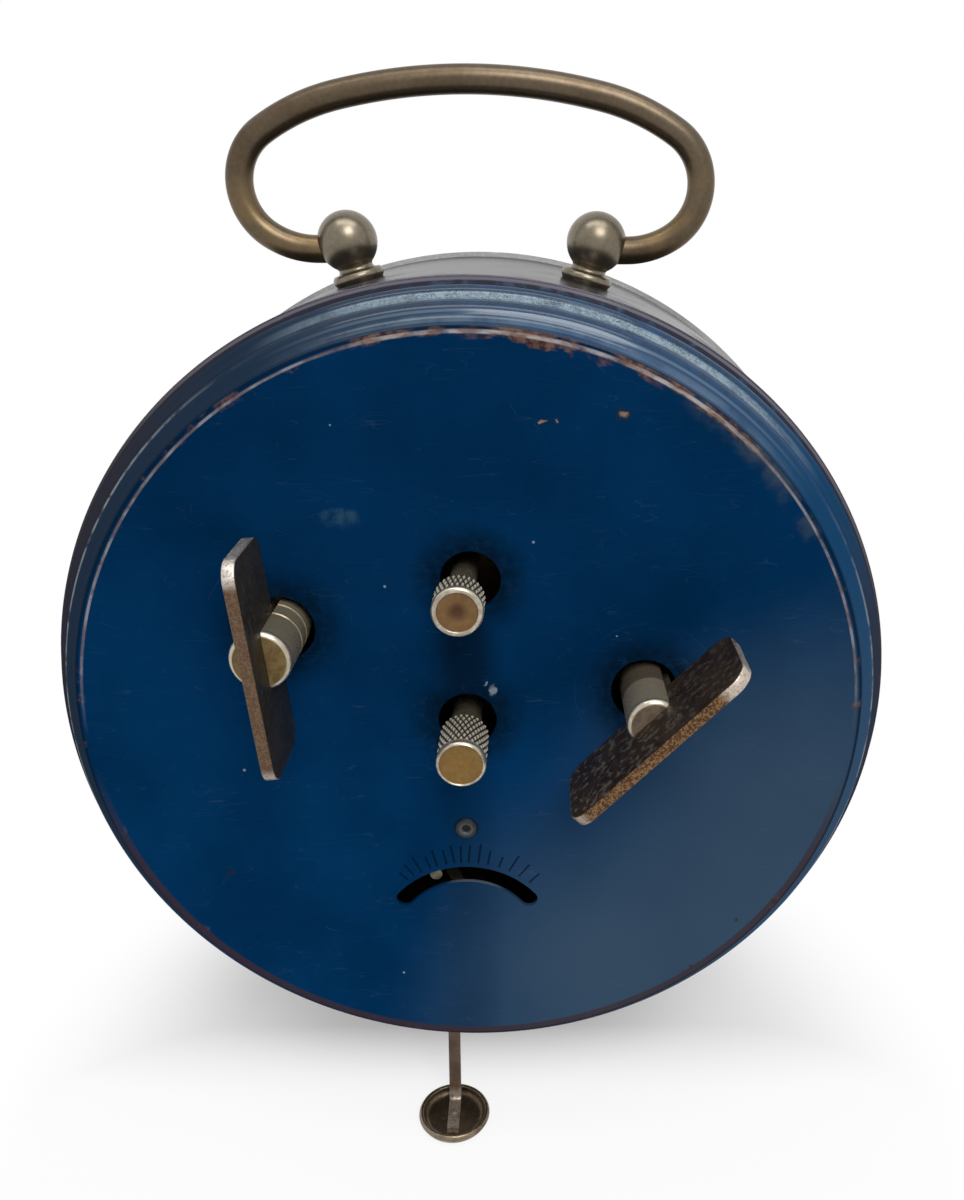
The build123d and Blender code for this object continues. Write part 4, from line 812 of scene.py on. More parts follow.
def hand(name, place, node, angle, length, spade, boss, bore):
    """A spade hand: tail, slim shank, spade and point, with a pierced round boss."""
    width = spade
    side = [
        (0.5 * width, -0.2 * length),
        (0.32 * width, 0),
        (0.26 * width, 0.48 * length),
        (0.34 * width, 0.55 * length),
    ]
    side += arc(side[-1], (width, 0.66 * length), (0.3 * width, 0.8 * length), 12)
    side += [(0.14 * width, 0.86 * length), (0.07 * width, length)]
    outline = side + [(-x, y) for x, y in reversed(side)]
    blade = draw_line([(x, y, 0) for x, y in outline])
    blade.name = name
    bpy.ops.mesh.select_all(action="SELECT")
    bpy.ops.mesh.edge_face_add()
    leave_edit()
    settle(blade, (0, 0, 0))
    apply_modifier(blade, "SOLIDIFY", thickness=hand_thick * mm, offset=1)
    disc = peg(boss, 0, hand_thick, 64)
    apply_modifier(blade, "BOOLEAN", object=disc, operation="UNION", solver="EXACT")
    bpy.data.objects.remove(disc)
    cut(blade, peg(bore, -1, 1, 64))
    apply_modifier(blade, "BEVEL", width=0.1 * mm, segments=2, limit_method="ANGLE")
    smooth(35)
    middle = sum(v.co.z for v in blade.data.vertices) / len(blade.data.vertices)
    settle(blade, (0, 0, hand_thick / 2 - middle / mm))
    return on_dial(blade, place, box_depths(node)[0], angle)


minute_hand = hand("minute_hand_spade", centre, "minute_hand", 60, 38, 2.3, 2.6, 1.2)
hour_hand = hand("hour_hand_spade", centre, "hour_hand", 305, 26, 3.0, 3.4, 1.6)
alarm_hand = hand("alarm_hand_spade", alarm_set, "alarm_hand", 210, 8.5, 0.9, 1.6, 0.8)
report(minute_hand, hour_hand, alarm_hand)

# %% [markdown]
# ## The cover screw
# One small screw holds the back between the knobs and the slot: a dark ring of a head round a
# deep socket whose near-black floor is painted shade, with a band of painted shade where the head
# meets the enamel. It is turned with the socket in its outline.

# %% Turn the cover screw
screw_place = box_place("cover_screw")
screw_rear, screw_front = box_depths("cover_screw")
screw_outline = [(0, 0.05), (0.45, 0.05), (0.62, 0.3)]
screw_outline += arc((0.62, 0.3), (1.0, -screw_rear), (1.38, 0.25), count=8)
screw_outline += [(1.5, 0.02), (1.5, 0), (0.7, 0), (0.7, -screw_front), (0, -screw_front)]
screw = on_back(turned("cover_screw_head", screw_outline, steps=48, sharp=35), screw_place)
report(screw)

# %% [markdown]
# ## Finishes
# Every finish is made of nodes that read the piece's own place in space, so it needs no picture.
# A few effects turn up on many pieces: soft blotches, hair scratches, dust and speckled pits.
# Each of these is a node group, built once, and every finish sets its own values on it.


# %% Helpers: place nodes by hand
def place_node(kind, inputs=(), **settings):
    """Adds a node, sets its options, fills its inputs and gives back its first live output."""
    made = tree.nodes.new(kind if kind.endswith("Input") else "ShaderNode" + kind)
    for key, value in settings.items():
        setattr(made, key, value)
    for key, value in dict(inputs).items():
        if isinstance(value, bpy.types.NodeSocket):
            tree.links.new(value, made.inputs[key])
        else:
            made.inputs[key].default_value = value
    return next((socket for socket in made.outputs if socket.enabled), None)


def maths(operation, *values, clamp=False):
    """One sum on numbers or sockets."""
    return place_node("Math", enumerate(values), operation=operation, use_clamp=clamp)


def plus(first, second, clamp=False):
    return maths("ADD", first, second, clamp=clamp)


def less(first, second, clamp=False):
    return maths("SUBTRACT", first, second, clamp=clamp)


def vector_maths(operation, *values):
    return place_node("VectorMath", enumerate(values), operation=operation)


def fade(value, low, high, first=0.0, last=1.0):
    """A smooth change from first to last while the value goes from low to high."""
    inputs = {"Value": value, "From Min": low, "From Max": high, "To Min": first, "To Max": last}
    return place_node("MapRange", inputs, interpolation_type="SMOOTHSTEP")


def fall(value, low, high):
    """1 below low, and 0 above high."""
    return fade(value, low, high, 1.0, 0.0)


def both(*masks):
    """The product of some masks and amounts."""
    product = masks[0]
    for mask in masks[1:]:
        product = maths("MULTIPLY", product, mask)
    return product


def either(*masks):
    """The largest of some masks and amounts."""
    largest = masks[0]
    for mask in masks[1:]:
        largest = maths("MAXIMUM", largest, mask)
    return largest


def colour(mask, under, over):
    """Lays one colour over another where the mask is."""
    inputs = {0: mask, 6: under, 7: over}
    for key, value in inputs.items():
        inputs[key] = (*value, 1) if isinstance(value, tuple) else value
    return place_node("Mix", inputs, data_type="RGBA")


def fade_line(mask, under, over):
    """Goes from one number to another with the mask."""
    return place_node("MapRange", {"Value": mask, "To Min": under, "To Max": over})


def place_in(origin=(0, 0), depth=0.0, turn=0.0):
    """Millimetres from a place on the back; with a turn, X runs along that direction."""
    where = place_node("TexCoord")
    where = where.node.outputs["Object"]
    shift = (-origin[0], -(back - depth), -(axis_height + origin[1]))
    moved = place_node("Mapping", {"Vector": where, "Scale": (1000, 1000, 1000), "Location": shift})
    if turn:
        moved = place_node("Mapping", {"Vector": moved, "Rotation": (0, radians(turn), 0)})
    return moved


def parts(vector):
    """The X, Y and Z of a vector."""
    made = place_node("SeparateXYZ", {"Vector": vector}).node
    return made.outputs["X"], made.outputs["Y"], made.outputs["Z"]


def radius_of(vector):
    """How far a point lies from the axis that runs from the back to the dial."""
    flat = vector_maths("MULTIPLY", vector, (1, 0, 1))
    return vector_maths("LENGTH", flat)


def facing(vector, angle):
    """How nearly a point lies in this direction from the origin: 1 there, -1 opposite."""
    flat = vector_maths("MULTIPLY", vector, (1, 0, 1))
    unit = vector_maths("NORMALIZE", flat)
    way = (cos(radians(angle)), 0, sin(radians(angle)))
    return vector_maths("DOT_PRODUCT", unit, way)


def noise(vector, scale, detail=3.0, roughness=0.55, distortion=0.0):
    """Soft noise from 0 to 1; a scale of 1 has blots of about a millimetre."""
    inputs = {"Vector": vector, "Scale": scale, "Detail": detail, "Roughness": roughness}
    return place_node("TexNoise", {**inputs, "Distortion": distortion})


def stretched(vector, scale, turn=(0, 0, 0)):
    """A space drawn out along some of its axes."""
    return place_node("Mapping", {"Vector": vector, "Scale": scale, "Rotation": turn})


# %% Helper: make a node group
def new_group(name, inputs, outputs):
    """Starts a group with float or vector inputs and float outputs; gives back its inputs."""
    global tree
    tree = bpy.data.node_groups.new(name, "ShaderNodeTree")
    for label, start in inputs.items():
        kind = "NodeSocketVector" if start is None else "NodeSocketFloat"
        socket = tree.interface.new_socket(label, in_out="INPUT", socket_type=kind)
        if start is not None:
            socket.default_value = start
    for label in outputs:
        tree.interface.new_socket(label, in_out="OUTPUT", socket_type="NodeSocketFloat")
    return tree.nodes.new("NodeGroupInput").outputs


def close_group(**results):
    """Links the group's results to its outputs and gives back the finished group."""
    out = tree.nodes.new("NodeGroupOutput")
    for label, socket in results.items():
        tree.links.new(socket, out.inputs[label])
    return tree


def use_group(group, **inputs):
    """Puts a shared group in the tree in work, with its own values."""
    made = tree.nodes.new("ShaderNodeGroup")
    made.node_tree = group
    for key, value in inputs.items():
        if isinstance(value, bpy.types.NodeSocket):
            tree.links.new(value, made.inputs[key])
        else:
            made.inputs[key].default_value = value
    return made.outputs[0]


# %% Group: soft blotches, as of old polish, stain or rust
given = new_group("blotches", {"Vector": None, "Scale": 0.1, "Low": 0.5, "High": 0.7}, ["Mask"])
cloud = noise(given["Vector"], given["Scale"], detail=6, roughness=0.62)
mask = fade(cloud, given["Low"], given["High"])
blotches = close_group(Mask=mask)

# %% Group: hair scratches, thin lines that wander and break off
given = new_group(
    "hair_scratches", {"Vector": None, "Scale": 0.3, "Width": 0.012, "Amount": 0.5}, ["Mask"]
)
lines = []
for turn, along in ((20, 0.16), (-55, 0.2), (80, 0.12)):
    run = stretched(given["Vector"], (along, 1, 1), (0, radians(turn), 0))
    wander = noise(run, given["Scale"], detail=2)
    line = maths("ABSOLUTE", less(wander, 0.5))
    line = less(1.0, maths("DIVIDE", line, given["Width"]), clamp=True)
    presence = noise(stretched(given["Vector"], (1, 1, 1), (0, turn, 0)), 0.17, detail=2)
    kept = less(1.0, given["Amount"])
    kept = fade(presence, both(kept, 0.7), kept)
    lines.append(both(line, kept))
hair_scratches = close_group(Mask=either(*lines))

# %% Group: dust, small specks of unequal size scattered far apart
given = new_group("dust", {"Vector": None, "Scale": 0.4, "Size": 0.1, "Share": 0.2}, ["Mask"])
cell = place_node("TexVoronoi", {"Vector": given["Vector"], "Scale": given["Scale"]}).node
chance = place_node("SeparateColor", {"Color": cell.outputs["Color"]}).node
present = maths("LESS_THAN", chance.outputs["Red"], given["Share"])
size = both(chance.outputs["Green"], given["Size"])
speck = maths("LESS_THAN", cell.outputs["Distance"], size)
dust = close_group(Mask=both(present, speck))

# %% Group: pits, the pocked surface of old steel
given = new_group("pits", {"Vector": None, "Scale": 1.0, "Depth": 0.5}, ["Mask"])
coarse = noise(given["Vector"], given["Scale"], detail=5, roughness=0.7)
cell = place_node("TexVoronoi", {"Vector": given["Vector"], "Scale": given["Scale"]}).node
hollow = fall(cell.outputs["Distance"], 0.05, 0.45)
hollow = both(hollow, fade(coarse, 0.45, 0.65))
pits = close_group(Mask=both(hollow, given["Depth"]))
print("shared groups:", [group.name for group in bpy.data.node_groups])


# %% Helpers: a finish with its shader, and rays that reach an eye
def start_tree(owner):
    """Empties the node tree of a material or a world, and makes it the one in work."""
    global tree
    owner.use_nodes = True
    tree = owner.node_tree
    tree.nodes.clear()


def finish(name, **constants):
    """A new material; constants such as Metallic go straight on its shader's sockets."""
    global shader
    material = bpy.data.materials.new(name)
    start_tree(material)
    shader = place_node("BsdfPrincipled").node
    place_node("OutputMaterial", {"Surface": shader.outputs[0]})
    for key, value in constants.items():
        shader.inputs[key.replace("_", " ")].default_value = value
    return material


def surface(**sockets):
    """Links sockets to the shader's inputs of these names."""
    for key, socket in sockets.items():
        tree.links.new(socket, shader.inputs[key.replace("_", " ")])


def bumped(height, distance, strength=1.0):
    """Gives the shader a bump of this height in millimetres."""
    bump = place_node("Bump", {"Height": height, "Distance": distance * mm, "Strength": strength})
    tree.links.new(bump, shader.inputs["Normal"])


def looked_at():
    """1 for a ray from the camera, a mirror or glass; 0 for one that carries light."""
    ray = place_node("LightPath").node.outputs
    return either(ray["Is Camera Ray"], ray["Is Glossy Ray"], ray["Is Transmission Ray"])


def coat(piece, material):
    """Puts a finish in a piece's material slots."""
    piece.data.materials.clear()
    piece.data.materials.append(material)


# %% [markdown]
# ## Blue enamel
# The back was dipped in a deep blue stove enamel. Handling has rubbed it through to the steel
# along the bead at the edge, and rust has crept in from there; a thin painted glint also runs
# along the bead's upper half. There is painted shade round the holes and between the knobs, a
# grey painted sheen towards the lower right, faint wipe marks by the keys, a few chips, a scuff
# and dust. The stepped rim is still glossy along the top, so its coat is stronger there than the
# flat's, and it is finely cracked; pale bands of painted highlight lie over the crazing there.
# The rim also carries painted shade on its left and outer edge, and a painted highlight line.

# %% Mix the blue enamel
enamel = finish("blue_enamel", Specular_IOR_Level=0.0, Coat_Roughness=0.13)
where = place_in()
wide = noise(where, 0.045, detail=4)
fine = noise(where, 0.9, detail=4)
reach = radius_of(where)
warp = place_node("TexNoise", {"Vector": where, "Scale": 0.55, "Detail": 4}).node
warp = vector_maths("SUBTRACT", warp.outputs["Color"], (0.5, 0.5, 0.5))
warp = vector_maths("MULTIPLY", warp, (2.6, 0, 2.6))
ragged = vector_maths("ADD", where, warp)
edge_reach = radius_of(ragged)
toward_top = facing(where, 103)
top = fade(toward_top, 0.74, 0.98)
sides = fall(toward_top, 0.35, 0.8)
swing = maths("ARCTAN2", parts(where)[2], parts(where)[0])
along_rim = place_node("CombineXYZ", {"X": both(swing, 0.4 * flat_radius), "Z": reach})


def spot(place, size, soft=0.5, squash=1.0):
    """A ragged mark of this size at a place on the back, flattened by the squash."""
    flat = vector_maths("MULTIPLY", ragged, (1, 0, squash))
    middle = (place[0], 0, place[1] * squash)
    away = vector_maths("DISTANCE", flat, middle)
    return fall(away, size * (1 - soft), size)


def band(near, far, soft=0.2):
    """A ring between two distances out from the edge of the flat, soft on both sides."""
    rise = fade(reach, flat_radius + near - soft, flat_radius + near)
    return both(rise, fall(reach, flat_radius + far, flat_radius + far + soft))


def patches(scale, low, high, vector=None):
    return use_group(blotches, Vector=vector or where, Scale=scale, Low=low, High=high)


# %% Paint the flat: blue, a grey painted sheen to the lower right, painted shade round the holes and between the knobs
# Painted sheen: the flat turns grey towards the lower right, as a reflection would make it.
painted_sheen = fade(facing(where, -140), 0.35, 0.95)
painted_sheen = both(painted_sheen, fade(reach, 6, 40), fade(wide, 0.3, 0.7, 0.85, 1.0))
paint = colour(fade(wide, 0.35, 0.65), (0.0004, 0.0195, 0.063), (0.0009, 0.0265, 0.086))
paint = colour(painted_sheen, paint, (0.033, 0.063, 0.104))
# Painted shade: the flat is darkened round each hole and in a strip up between the two knobs.
painted_shade_holes = [fall(radius_of(place_in(place)), size, size + 4.5)
              for place, size in holes]
painted_shade = both(either(*painted_shade_holes), fade(fine, 0.3, 0.6, 0.45, 0.9))
column_foot = vector_maths("SUBTRACT", where, (0.5, 0, 1.2))
painted_shade_column = maths("ABSOLUTE", parts(column_foot)[0])
height_on_back = parts(where)[2]
painted_shade_column = both(fall(painted_shade_column, 1.0, 5.0), fade(height_on_back, -9, 6, 0.2, 0.75))
painted_shade_column = both(painted_shade_column, fall(height_on_back, 14, 20))
painted_shade = either(painted_shade, painted_shade_column)
paint = colour(painted_shade, paint, (0.0014, 0.0075, 0.018))

wipes = []
for place, near, far in ((alarm_key, 6, 15), (time_key, 7, 17)):
    about = radius_of(place_in(place))
    rings = noise(place_node("CombineXYZ", {"X": about}), 2.6, detail=3)
    broken = noise(where, 0.2, detail=2)
    ring_line = both(fade(rings, 0.6, 0.72), fade(broken, 0.5, 0.66))
    wipes.append(both(ring_line, fade(about, near, near + 2), fade(about, far, far - 4)))
scratch = use_group(hair_scratches, Vector=where, Scale=0.35, Width=0.004, Amount=0.36)
light_marks = either(both(scratch, 0.08), both(either(*wipes), 0.3))
paint = colour(light_marks, paint, (0.10, 0.15, 0.21))
scuff = both(spot((14.4, 26.1), 2.7, 0.6, 1.7), patches(0.5, 0.35, 0.6))
paint = colour(both(scuff, 0.32), paint, (0.055, 0.125, 0.155))

# %% Paint the stepped rim: painted shade at the left, painted highlight over the crazing along the top
rim_out = fade(reach, flat_radius + 0.4, flat_radius + 1.0)
# Painted shade: the rim is darker and greyer towards +X, the left seen from behind.
rim_blue = colour(fade(facing(where, 25), 0.1, 0.9), (0.006, 0.042, 0.105),
                  (0.011, 0.023, 0.044))
# The same painted sheen greys the rim towards the lower right.
rim_blue = colour(painted_sheen, rim_blue, (0.03, 0.065, 0.12))
paint = colour(rim_out, paint, rim_blue)
# Painted highlight: pale bands along the top of the rim's steps, the outermost one over crazed
# enamel.
pale = either(
    both(band(1.1, 1.4, 0.4), patches(0.25, 0.3, 0.65), 0.22),
    both(band(1.95, 2.1, 0.14), 0.28),
    both(band(3.2, 3.6, 0.3), patches(0.45, 0.2, 0.5, along_rim), 1.0),
)
paint = colour(both(pale, top), paint, (0.22, 0.30, 0.36))
cracks = noise(where, 2.2, detail=4, roughness=0.7, distortion=0.6)
crackle = maths("ABSOLUTE", less(cracks, 0.5))
crackle = both(fall(crackle, 0.0, 0.05), band(2.4, 4.3), patches(0.5, 0.36, 0.5), top)
paint = colour(both(crackle, 0.95), paint, (0.006, 0.011, 0.018))
# Painted highlight: a thin pale line along the rim's ridge, away from the top.
painted_ridge_highlight = both(band(2.55, 2.7, 0.12), sides)
paint = colour(both(painted_ridge_highlight, patches(0.4, 0.35, 0.55), 0.7), paint, (0.24, 0.27, 0.30))
# A dark line at the joint with the drum along the top, and painted shade over the rim's outer edge
# away from the top.
joint_line_and_painted_shade = either(both(band(4.45, 4.75, 0.1), patches(0.6, 0.3, 0.5), 0.9),
                    both(band(2.85, 6.0), sides, 0.8))
paint = colour(band(4.8, 6.0, 0.1), paint, (0.10, 0.095, 0.115))
paint = colour(joint_line_and_painted_shade, paint, (0.026, 0.024, 0.031))
# Painted shade: a dark line on the bead's outer flank, where it drops into the step.
paint = colour(both(band(0.4, 0.65, 0.15), 0.8), paint, (0.002, 0.010, 0.024))

# %% Add rust, bare steel with a painted glint, chips and dust, and painted shade and light at the marks and slot
rusty_places = [((-17.4, 37.9), 1.25), ((-8.4, 36.9), 0.65), ((-10.2, 37.1), 0.6),
                ((31.3, -21.3), 0.6), ((-28.6, -36.4), 0.7), ((-34.2, -29.1), 0.5),
                ((32.4, 34.7), 0.9), ((40.6, 28.2), 0.6)]
halo = either(*[spot(place, size, 0.85, 1.6) for place, size in rusty_places])
core = either(*[spot(place, size * 0.6, 0.7, 1.6) for place, size in rusty_places[:3]])
paint = colour(both(halo, 0.9), paint, (0.020, 0.014, 0.013))
upper_right = fade(facing(where, 104), 0.965, 0.99)
far_right = fade(facing(where, 120), 0.95, 0.985)
upper_left = fade(facing(where, 83), 0.985, 0.997)
ragged_edge = fade(noise(along_rim, 0.5, detail=5), 0.3, 0.7, 0.2, 1.5)
depth_in = less(flat_radius, reach)
thick_rust = fade(less(ragged_edge, depth_in), -0.1, 0.25)
thick_rust = both(thick_rust, upper_right, patches(0.3, 0.38, 0.5, along_rim))
thin_rust = fade(less(both(ragged_edge, 0.5), depth_in), -0.1, 0.2)
thin_rust = both(thin_rust, either(far_right, upper_left), patches(0.35, 0.46, 0.56, along_rim))
trace = both(fade(edge_reach, flat_radius - 0.5, flat_radius + 0.1), patches(0.22, 0.55, 0.63))
inside = fall(reach, flat_radius + 0.5, flat_radius + 0.7)
rust = both(either(thick_rust, thin_rust, both(trace, 0.55)), inside)
rust_tone = colour(fade(fine, 0.38, 0.62), (0.040, 0.018, 0.013), (0.17, 0.095, 0.065))
paint = colour(both(rust, 0.85), paint, rust_tone)
paint = colour(core, paint, (0.23, 0.155, 0.115))
haze = both(fade(facing(where, 136), 0.955, 0.99),
            fade(edge_reach, flat_radius - 2.2, flat_radius - 0.3), inside,
            patches(0.25, 0.42, 0.6))
paint = colour(both(haze, 0.35), paint, (0.085, 0.10, 0.105))

low_side = fade(facing(where, -90), 0.1, 0.45)
paint = colour(both(band(-0.25, 0.5), low_side, 0.7), paint, (0.040, 0.022, 0.020))
upper = fade(facing(where, 90), -0.05, 0.3)
# Painted glint: a thin bright line on the bead's upper half, painted as bare steel. Along the top
# and upper right the bead is rubbed bare, with a painted highlight there too.
glint = both(band(-0.1, 0.08, 0.12), upper, fade(fine, 0.3, 0.5, 0.45, 1.0))
wear_and_highlight = both(band(-0.12, 0.12, 0.2), fade(facing(where, 104), 0.8, 0.96),
            patches(0.5, 0.3, 0.55, along_rim))
chips = either(spot((-2.7, 4.4), 0.42, 0.6, 0.45), spot((-1.9, 5.4), 0.24, 0.5, 0.6))
bare_steel_and_glint = either(both(glint, 0.45), both(wear_and_highlight, 0.85))
steel_tone = colour(fade(noise(along_rim, 0.9, detail=4), 0.4, 0.6),
                    (0.27, 0.19, 0.16), (0.52, 0.48, 0.47))
paint = colour(bare_steel_and_glint, paint, steel_tone)
paint = colour(both(chips, 0.55), paint, (0.30, 0.36, 0.42))
specks = use_group(dust, Vector=where, Scale=0.22, Size=0.045, Share=0.35)
paint = colour(both(specks, 0.6), paint, (0.30, 0.33, 0.36))

at_balance = place_in(balance)
from_balance = radius_of(at_balance)
under_surface = fall(parts(where)[1], -0.09, -0.02)
# Painted shade: the struck marks are painted dark inside their grooves.
struck = both(under_surface, fade(from_balance, mark_inner - 0.4, mark_inner - 0.2),
              fall(from_balance, 15.6, 15.8))
paint = colour(both(struck, 0.62), paint, (0.0012, 0.007, 0.016))
# Painted light: the slot's inner wall is painted pale near the top, where it faces up to the lamps.
slot_wall = both(under_surface, fall(from_balance, slot_radius - 1.0, slot_radius - 0.8),
                 fade(facing(at_balance, 98), 0.9, 0.99))
paint = colour(both(slot_wall, 0.55), paint, (0.13, 0.15, 0.18))

# %% Set the enamel's gloss and its crazed surface
metal = both(bare_steel_and_glint, 0.6)
rough = fade(fine, 0.3, 0.7, 0.34, 0.46)
rough = plus(rough, both(rust, 0.4), clamp=True)
crazed = both(band(2.6, 4.4), top)
gloss = both(rim_out, fade(toward_top, 0.72, 0.98, 0.04, 0.72))
gloss = both(gloss, fall(rust, 0, 1), fade(joint_line_and_painted_shade, 0, 1, 1.0, 0.1))
surface(Base_Color=paint, Metallic=metal, Roughness=rough, Coat_Weight=gloss)
height = plus(both(noise(where, 0.35, detail=2), 0.35), both(cracks, crazed, 1.1))
height = less(height, both(either(scratch, rust), 0.12))
bumped(height, 0.08)
coat(rear_cover, enamel)


# %% [markdown]
# ## Metals
# Nickel plate, bronze, brass and steel share one recipe with different values: a base tone, a
# second tone in soft blotches, hair scratches that change the gloss, and specks of dirt.
# Pieces with a telling pattern of wear get their own finish after this.

# %% Helper: a worn metal
def worn_metal(name, tone, stain, scale=0.12, rough=(0.25, 0.42), low=0.42, high=0.66,
               scratches=0.5, specks=0.0, metallic=1.0, rear_stain=0.0, bump=0.05,
               gilt=None, edge_tint=1.0):
    """The shared recipe; gilt is the two heights between which a last trace of gilding ends."""
    material = finish(name, Metallic=metallic, Specular_Tint=(*[edge_tint] * 3, 1.0))
    where = place_in()
    cloud = use_group(blotches, Vector=where, Scale=scale, Low=low, High=high)
    grain = noise(where, 1.7, detail=4)
    shade = colour(cloud, tone, stain)
    shade = colour(fade(grain, 0.3, 0.75, 0.0, 0.25), shade, tuple(0.35 * v for v in stain))
    line = use_group(hair_scratches, Vector=where, Scale=0.9, Width=0.008, Amount=scratches)
    pale = tuple(min(1.0, 1.5 * v) for v in tone)
    shade = colour(both(line, 0.45), shade, pale)
    gloss = plus(fade(cloud, 0, 1, *rough), both(line, 0.15))
    height = less(both(grain, 0.12), both(line, 0.1))
    if specks:
        motes = use_group(dust, Vector=where, Scale=0.6, Size=0.1, Share=specks)
        shade = colour(motes, shade, tuple(0.2 * v for v in stain))
    if gilt:
        rubbed = both(fall(parts(where)[2], *gilt), fade(noise(where, 0.12), 0.4, 0.6), 0.55)
        shade = colour(rubbed, shade, (0.20, 0.135, 0.060))
    if rear_stain:
        near_rear = fade(parts(where)[1], -drum_rear - rear_stain, -drum_rear - 0.1)
        shade = colour(near_rear, shade, (0.07, 0.06, 0.08))
    surface(Base_Color=shade, Roughness=gloss)
    bumped(height, bump)
    return material


# %% Mix the metals
drum_nickel = worn_metal("drum_nickel", (0.108, 0.106, 0.103), (0.076, 0.068, 0.082), 0.05,
                         (0.2, 0.3), scratches=0.2, specks=0.1, metallic=0.8, rear_stain=0.7,
                         edge_tint=0.35)
bezel_nickel = worn_metal("bezel_nickel", (0.36, 0.355, 0.35), (0.25, 0.24, 0.25), 0.05,
                          (0.2, 0.3), scratches=0.2, specks=0.1)
post_nickel = worn_metal("post_nickel", (0.235, 0.207, 0.16), (0.165, 0.138, 0.097), 0.1,
                         (0.29, 0.35), low=0.3, high=0.8, scratches=0.15, bump=0.012)
bronze = worn_metal("bail_bronze", (0.128, 0.098, 0.067), (0.086, 0.060, 0.036), 0.07,
                    (0.34, 0.42), low=0.35, high=0.75, scratches=0.2, specks=0.06, bump=0.012,
                    gilt=(57, 66))
dish_bronze = worn_metal("dish_bronze", (0.25, 0.20, 0.14), (0.12, 0.085, 0.055), 0.25, (0.3, 0.42))
plate_brass = worn_metal("plate_brass", (0.62, 0.46, 0.20), (0.42, 0.29, 0.11), 0.08, (0.25, 0.38))
# Painted shade: a darkened copy of the plate brass for the rear plate inside the closed case.
painted_shade_brass = worn_metal("painted_shade_brass", (0.030, 0.023, 0.012), (0.016, 0.012, 0.008), 0.1,
                        (0.5, 0.65))
wheel_brass = worn_metal("wheel_brass", (0.66, 0.50, 0.23), (0.5, 0.35, 0.14), 0.2, (0.2, 0.34))
arbor_steel = worn_metal("arbor_steel", (0.38, 0.38, 0.38), (0.25, 0.24, 0.23), 0.4, (0.22, 0.35))
blued_spring = worn_metal("blued_spring", (0.20, 0.22, 0.27), (0.12, 0.12, 0.15), 0.2, (0.25, 0.38))
shaft_olive = worn_metal("shaft_olive", (0.15, 0.132, 0.092), (0.075, 0.064, 0.043), 0.5,
                         (0.3, 0.45), metallic=0.6)
for piece, material in (
    (drum, drum_nickel), (bezel, bezel_nickel), (handle, bronze), (dish, dish_bronze),
    *((post, post_nickel) for post in posts + feet),
):
    coat(piece, material)
print("metals:", len(bpy.data.materials))

# %% Mix the cover screw's dark ring
screw_dark = finish("screw_dark", Metallic=0.6)
where = place_in(screw_place)
reach = radius_of(where)
grain = noise(where, 2.6, detail=4)
tone = colour(fade(grain, 0.35, 0.65), (0.030, 0.034, 0.036), (0.018, 0.018, 0.018))
# Painted shade: the socket's floor is painted near black.
tone = colour(fall(reach, 0.35, 0.5), tone, (0.003, 0.003, 0.004))
lip = both(fade(reach, 0.45, 0.6), fall(reach, 0.8, 1.0))
tone = colour(both(lip, 0.7), tone, (0.075, 0.085, 0.090))
# Painted shade: the head's outer edge is painted dark blue where it meets the enamel.
tone = colour(fade(reach, 1.15, 1.3), tone, (0.003, 0.009, 0.018))
surface(Base_Color=tone, Roughness=fade(grain, 0.3, 0.7, 0.35, 0.55))
bumped(grain, 0.03)
coat(screw, screw_dark)

# %% [markdown]
# ## Keys
# Both wings have gone dark on their flat sides and brown along their edges, and are polished
# where fingers turn them, at one end; that bright end also carries a painted highlight on its
# rounded edge. The left one seen from behind is plated and smooth. The right one is steel,
# pitted and speckled with rust. The barrels' faces are brass, gone brown.

